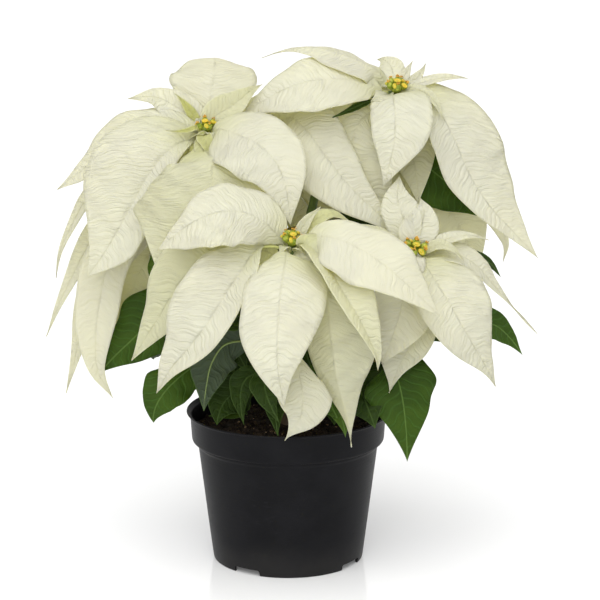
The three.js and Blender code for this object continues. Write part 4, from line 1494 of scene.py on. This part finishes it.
pins = []
for angle, place in ring_of(4, -33, NOTCH_RING, 1.0):
    deselect()
    bpy.ops.mesh.primitive_cube_add(size=1, location=place, rotation=(0, 0, angle))
    pin = active("notch_pin")
    pin.scale = [side * MM for side in NOTCH_SIZE]
    settle(pin)
    apply_modifier(pin, "BEVEL", width=1.6 * MM, segments=3)
    pins.append(pin)
cut(pot, pins)
pins = []
for angle, place in ring_of(8, 22.5, DRAIN_RING, 8):
    deselect()
    bpy.ops.mesh.primitive_cylinder_add(
        vertices=24, radius=DRAIN_RADIUS * MM, depth=12 * MM, location=place)
    pins.append(active("drain_pin"))
cut(pot, pins)
deselect()
pot.select_set(True)
bpy.context.view_layer.objects.active = pot
bpy.ops.object.shade_smooth_by_angle(angle=math.radians(32))
print("pot cut:", len(pot.data.polygons), "faces")

# %% [markdown]
# The pot's plastic is recycled and unpolished: nearly black, with a fine grain from the mould,
# faint rings where the mould was turned, and dull rubbed patches where dust and peat clung.

# %% Pot finish
skin = Skin("pot_black_plastic")
place = skin.place()
x, y, z = (skin.wire("ShaderNodeSeparateXYZ", None, {0: place}, axis) for axis in "XYZ")
grain = skin.noise(place, 1400.0, 3.0, 0.6)
cloud = skin.noise(place, 34.0, 4.0, 0.6)
rings = skin.noise(skin.vector(0.0, 0.0, z), 620.0, 2.0)
scuffs = skin.noise(skin.vector(x * 0.35, y * 0.35, z), 260.0, 4.0, 0.7)
worn = skin.step(scuffs, 0.60, 0.74, 0.0, 0.35)
dusty = skin.step(z + (cloud - 0.5) * 0.03, 0.004, 0.030, 0.5, 0.0)
body = skin.blend(
    skin.step(cloud, 0.35, 0.7), rgb(0.0042, 0.0043, 0.0052), rgb(0.0066, 0.0067, 0.0080))
body = skin.blend(worn, body, rgb(0.016, 0.016, 0.018))
body = skin.blend(dusty, body, rgb(0.026, 0.025, 0.024))
rough = 0.42 + (cloud - 0.5) * 0.18 + worn * 0.3 + (grain - 0.5) * 0.1
normal = skin.bump(grain * 0.5 + rings * 0.8 + scuffs * 0.3, 0.28, 0.0004)
pot_black = skin.finish(skin.surface(body, rough, normal, 0.09))
pot.data.materials.clear()
pot.data.materials.append(pot_black)
carry(pot, "pot_plastic", "pot")
print("pot finished")

# %% [markdown]
# ## The potting mix
# Peat fills the pot to a finger's breadth below the rim. It is a body of its own with a loose
# crumbled top: the disc's top is subdivided and pushed up and down by waves that cross, and
# several hundred small clods and pale wood crumbs lie on it. A clod has only twenty faces,
# since so many of them are needed.

# %% The bed of peat
GAP = 0.4  # between the mix and the wall
SURFACE_EDGE = 69  # inside it the surface is lumpy
sides = [(0.5, 9.4), (53.6, 9.4)] + [(body_radius(h) - WALL - GAP, h) for h in (14, 40, 88)]
surface = [
    (66.4, 94.4), (70.0, 96.2), (70.3, 99.0), (68, 99.6), (62, 100.6), (56, 101.0), (50, 101.0),
    (44, 100.9), (38, 100.7), (32, 100.4), (26, 100.2), (20, 100.0), (15, 100.9), (11, 102.0),
    (8.0, 102.7), (4.0, 103.0), (0.5, 103.0)]
peat = turned("peat_mix", sides + surface, 96)
edit_faces(peat, lambda face: face.center.z > 99.1 * MM and face.normal.z > 0.5)
bpy.ops.mesh.subdivide(number_cuts=2)
bpy.ops.object.mode_set(mode="OBJECT")
for point in peat.data.vertices:
    where = point.co / MM
    out = math.hypot(where.x, where.y)
    if where.z > 99.2 and out < SURFACE_EDGE:
        ease = smoothstep((SURFACE_EDGE - out) / 6)
        lump = sum(
            math.sin(where.x * f + i) * math.sin(where.y * f * 1.1 + 2 * i) / (i + 1)
            for i, f in enumerate((0.35, 0.8, 1.7)))
        point.co.z += lump * 0.9 * MM * float(ease)
peat.data.shade_smooth()
print("peat bed:", len(peat.data.polygons), "faces")

# %% Clods and crumbs
SCATTER_RADIUS = 70.5
SURFACE_HEIGHT = 100.3


def scatter(name, shape, count, sizes, flat):
    """Copies strewn over the surface, which is highest by the stem and sinks at the wall."""
    chance = random.Random(name)
    pieces = []
    for _ in range(count):
        out = math.sqrt(chance.uniform(0.012, 0.93)) * SCATTER_RADIUS
        angle = chance.uniform(0, 2 * math.pi)
        size = chance.uniform(*sizes)
        slope = 2.4 * math.exp(-out / 9) - max(0.0, out - 62) * 0.12
        height = SURFACE_HEIGHT + slope + size * 0.2
        lean = [chance.uniform(0, 180) for _ in range(3)]
        place = (out * math.cos(angle), out * math.sin(angle), height)
        sizes_of_it = (size, size * chance.uniform(0.6, 1.0), size * flat)
        pieces.append(twin_of(shape, place, lean, sizes_of_it))
    return joined(name, pieces)


def clod(name, seed):
    """A rough lump of twenty flat faces."""
    deselect()
    bpy.ops.mesh.primitive_ico_sphere_add(subdivisions=1, radius=0.5 * MM)
    thing = active(name)
    chance = random.Random(seed)
    for point in thing.data.vertices:
        point.co *= chance.uniform(0.75, 1.25)
    return thing


print("scattering helpers ready")

# %% [markdown]
# Moist peat is almost black, with brown and tan specks and hardly any gloss, and the crumbs are
# chips of pale wood. Both finishes are noise, coarse for the lumps and fine for the specks,
# because no part of a potting mix looks like another.

# %% Peat and crumb finishes
skin = Skin("peat_brown")
place = skin.place()
lumps = skin.noise(place, 160.0, 5.0, 0.7)
fine = skin.noise(place, 900.0, 4.0, 0.7)
body = skin.blend(skin.step(lumps, 0.38, 0.68), rgb(0.012, 0.0085, 0.006), rgb(0.045, 0.029, 0.018))
body = skin.blend(skin.step(fine, 0.62, 0.75, 0.0, 0.5), body, rgb(0.13, 0.085, 0.045))
normal = skin.bump(lumps + fine * 0.5, 1.0, 0.0012)
peat_brown = skin.finish(skin.surface(body, 0.9 + (fine - 0.5) * 0.15, normal, 0.2))

skin = Skin("wood_crumb_tan")
fibre = skin.noise(skin.place(), 1100.0, 3.0)
body = skin.blend(skin.step(fibre, 0.4, 0.65), rgb(0.16, 0.10, 0.055), rgb(0.32, 0.23, 0.13))
normal = skin.bump(fibre, 0.6, 0.0005)
tan_crumb = skin.finish(skin.surface(body, 0.8 + (fibre - 0.5) * 0.2, normal, 0.25))
print("peat finishes ready")

# %% Strew them
dark_clod = clod("clod", "dark")
dark_clod.data.materials.append(peat_brown)
pale_clod = clod("crumb", "pale")
pale_clod.data.materials.append(tan_crumb)
clods = scatter("clods", dark_clod, 620, (1.6, 4.6), 0.75)
crumbs = scatter("crumbs", pale_clod, 170, (0.8, 2.6), 0.5)
discard(dark_clod, pale_clod)
peat.data.materials.append(peat_brown)
peat = joined("peat_mix", [peat, clods, crumbs])
carry(peat, "potting_mix", "potting_mix")
print("peat with clods:", len(peat.data.polygons), "faces")

# %% [markdown]
# ## The table
# A broad white surface under and far behind the plant. It is given a little light of its own,
# so that it stays white to its far edge and only the soft shadow by the pot shows on it.

# %% Floor
deselect()
bpy.ops.mesh.primitive_plane_add(size=40, location=(0, 0, 0))
floor = active("white_table")
settle(floor)
skin = Skin("table_white")
haze = skin.noise(skin.place(), 3.0, 2.0)
body = skin.blend(haze, rgb(0.86, 0.86, 0.86), rgb(0.88, 0.88, 0.88))
shader = skin.wire("ShaderNodeBsdfPrincipled", None, {
    "Base Color": body, "Roughness": 0.12, "Emission Color": rgb(1.0, 1.0, 1.0),
    "Emission Strength": 0.08})
floor.data.materials.append(skin.finish(shader))
print("table", [round(v, 2) for v in floor.dimensions])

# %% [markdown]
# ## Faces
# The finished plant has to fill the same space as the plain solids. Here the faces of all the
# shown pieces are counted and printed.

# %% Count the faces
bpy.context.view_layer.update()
shown = [o for o in bpy.data.objects if o.type == "MESH" and not o.hide_render]
print("faces in all:", sum(len(o.data.polygons) for o in shown))
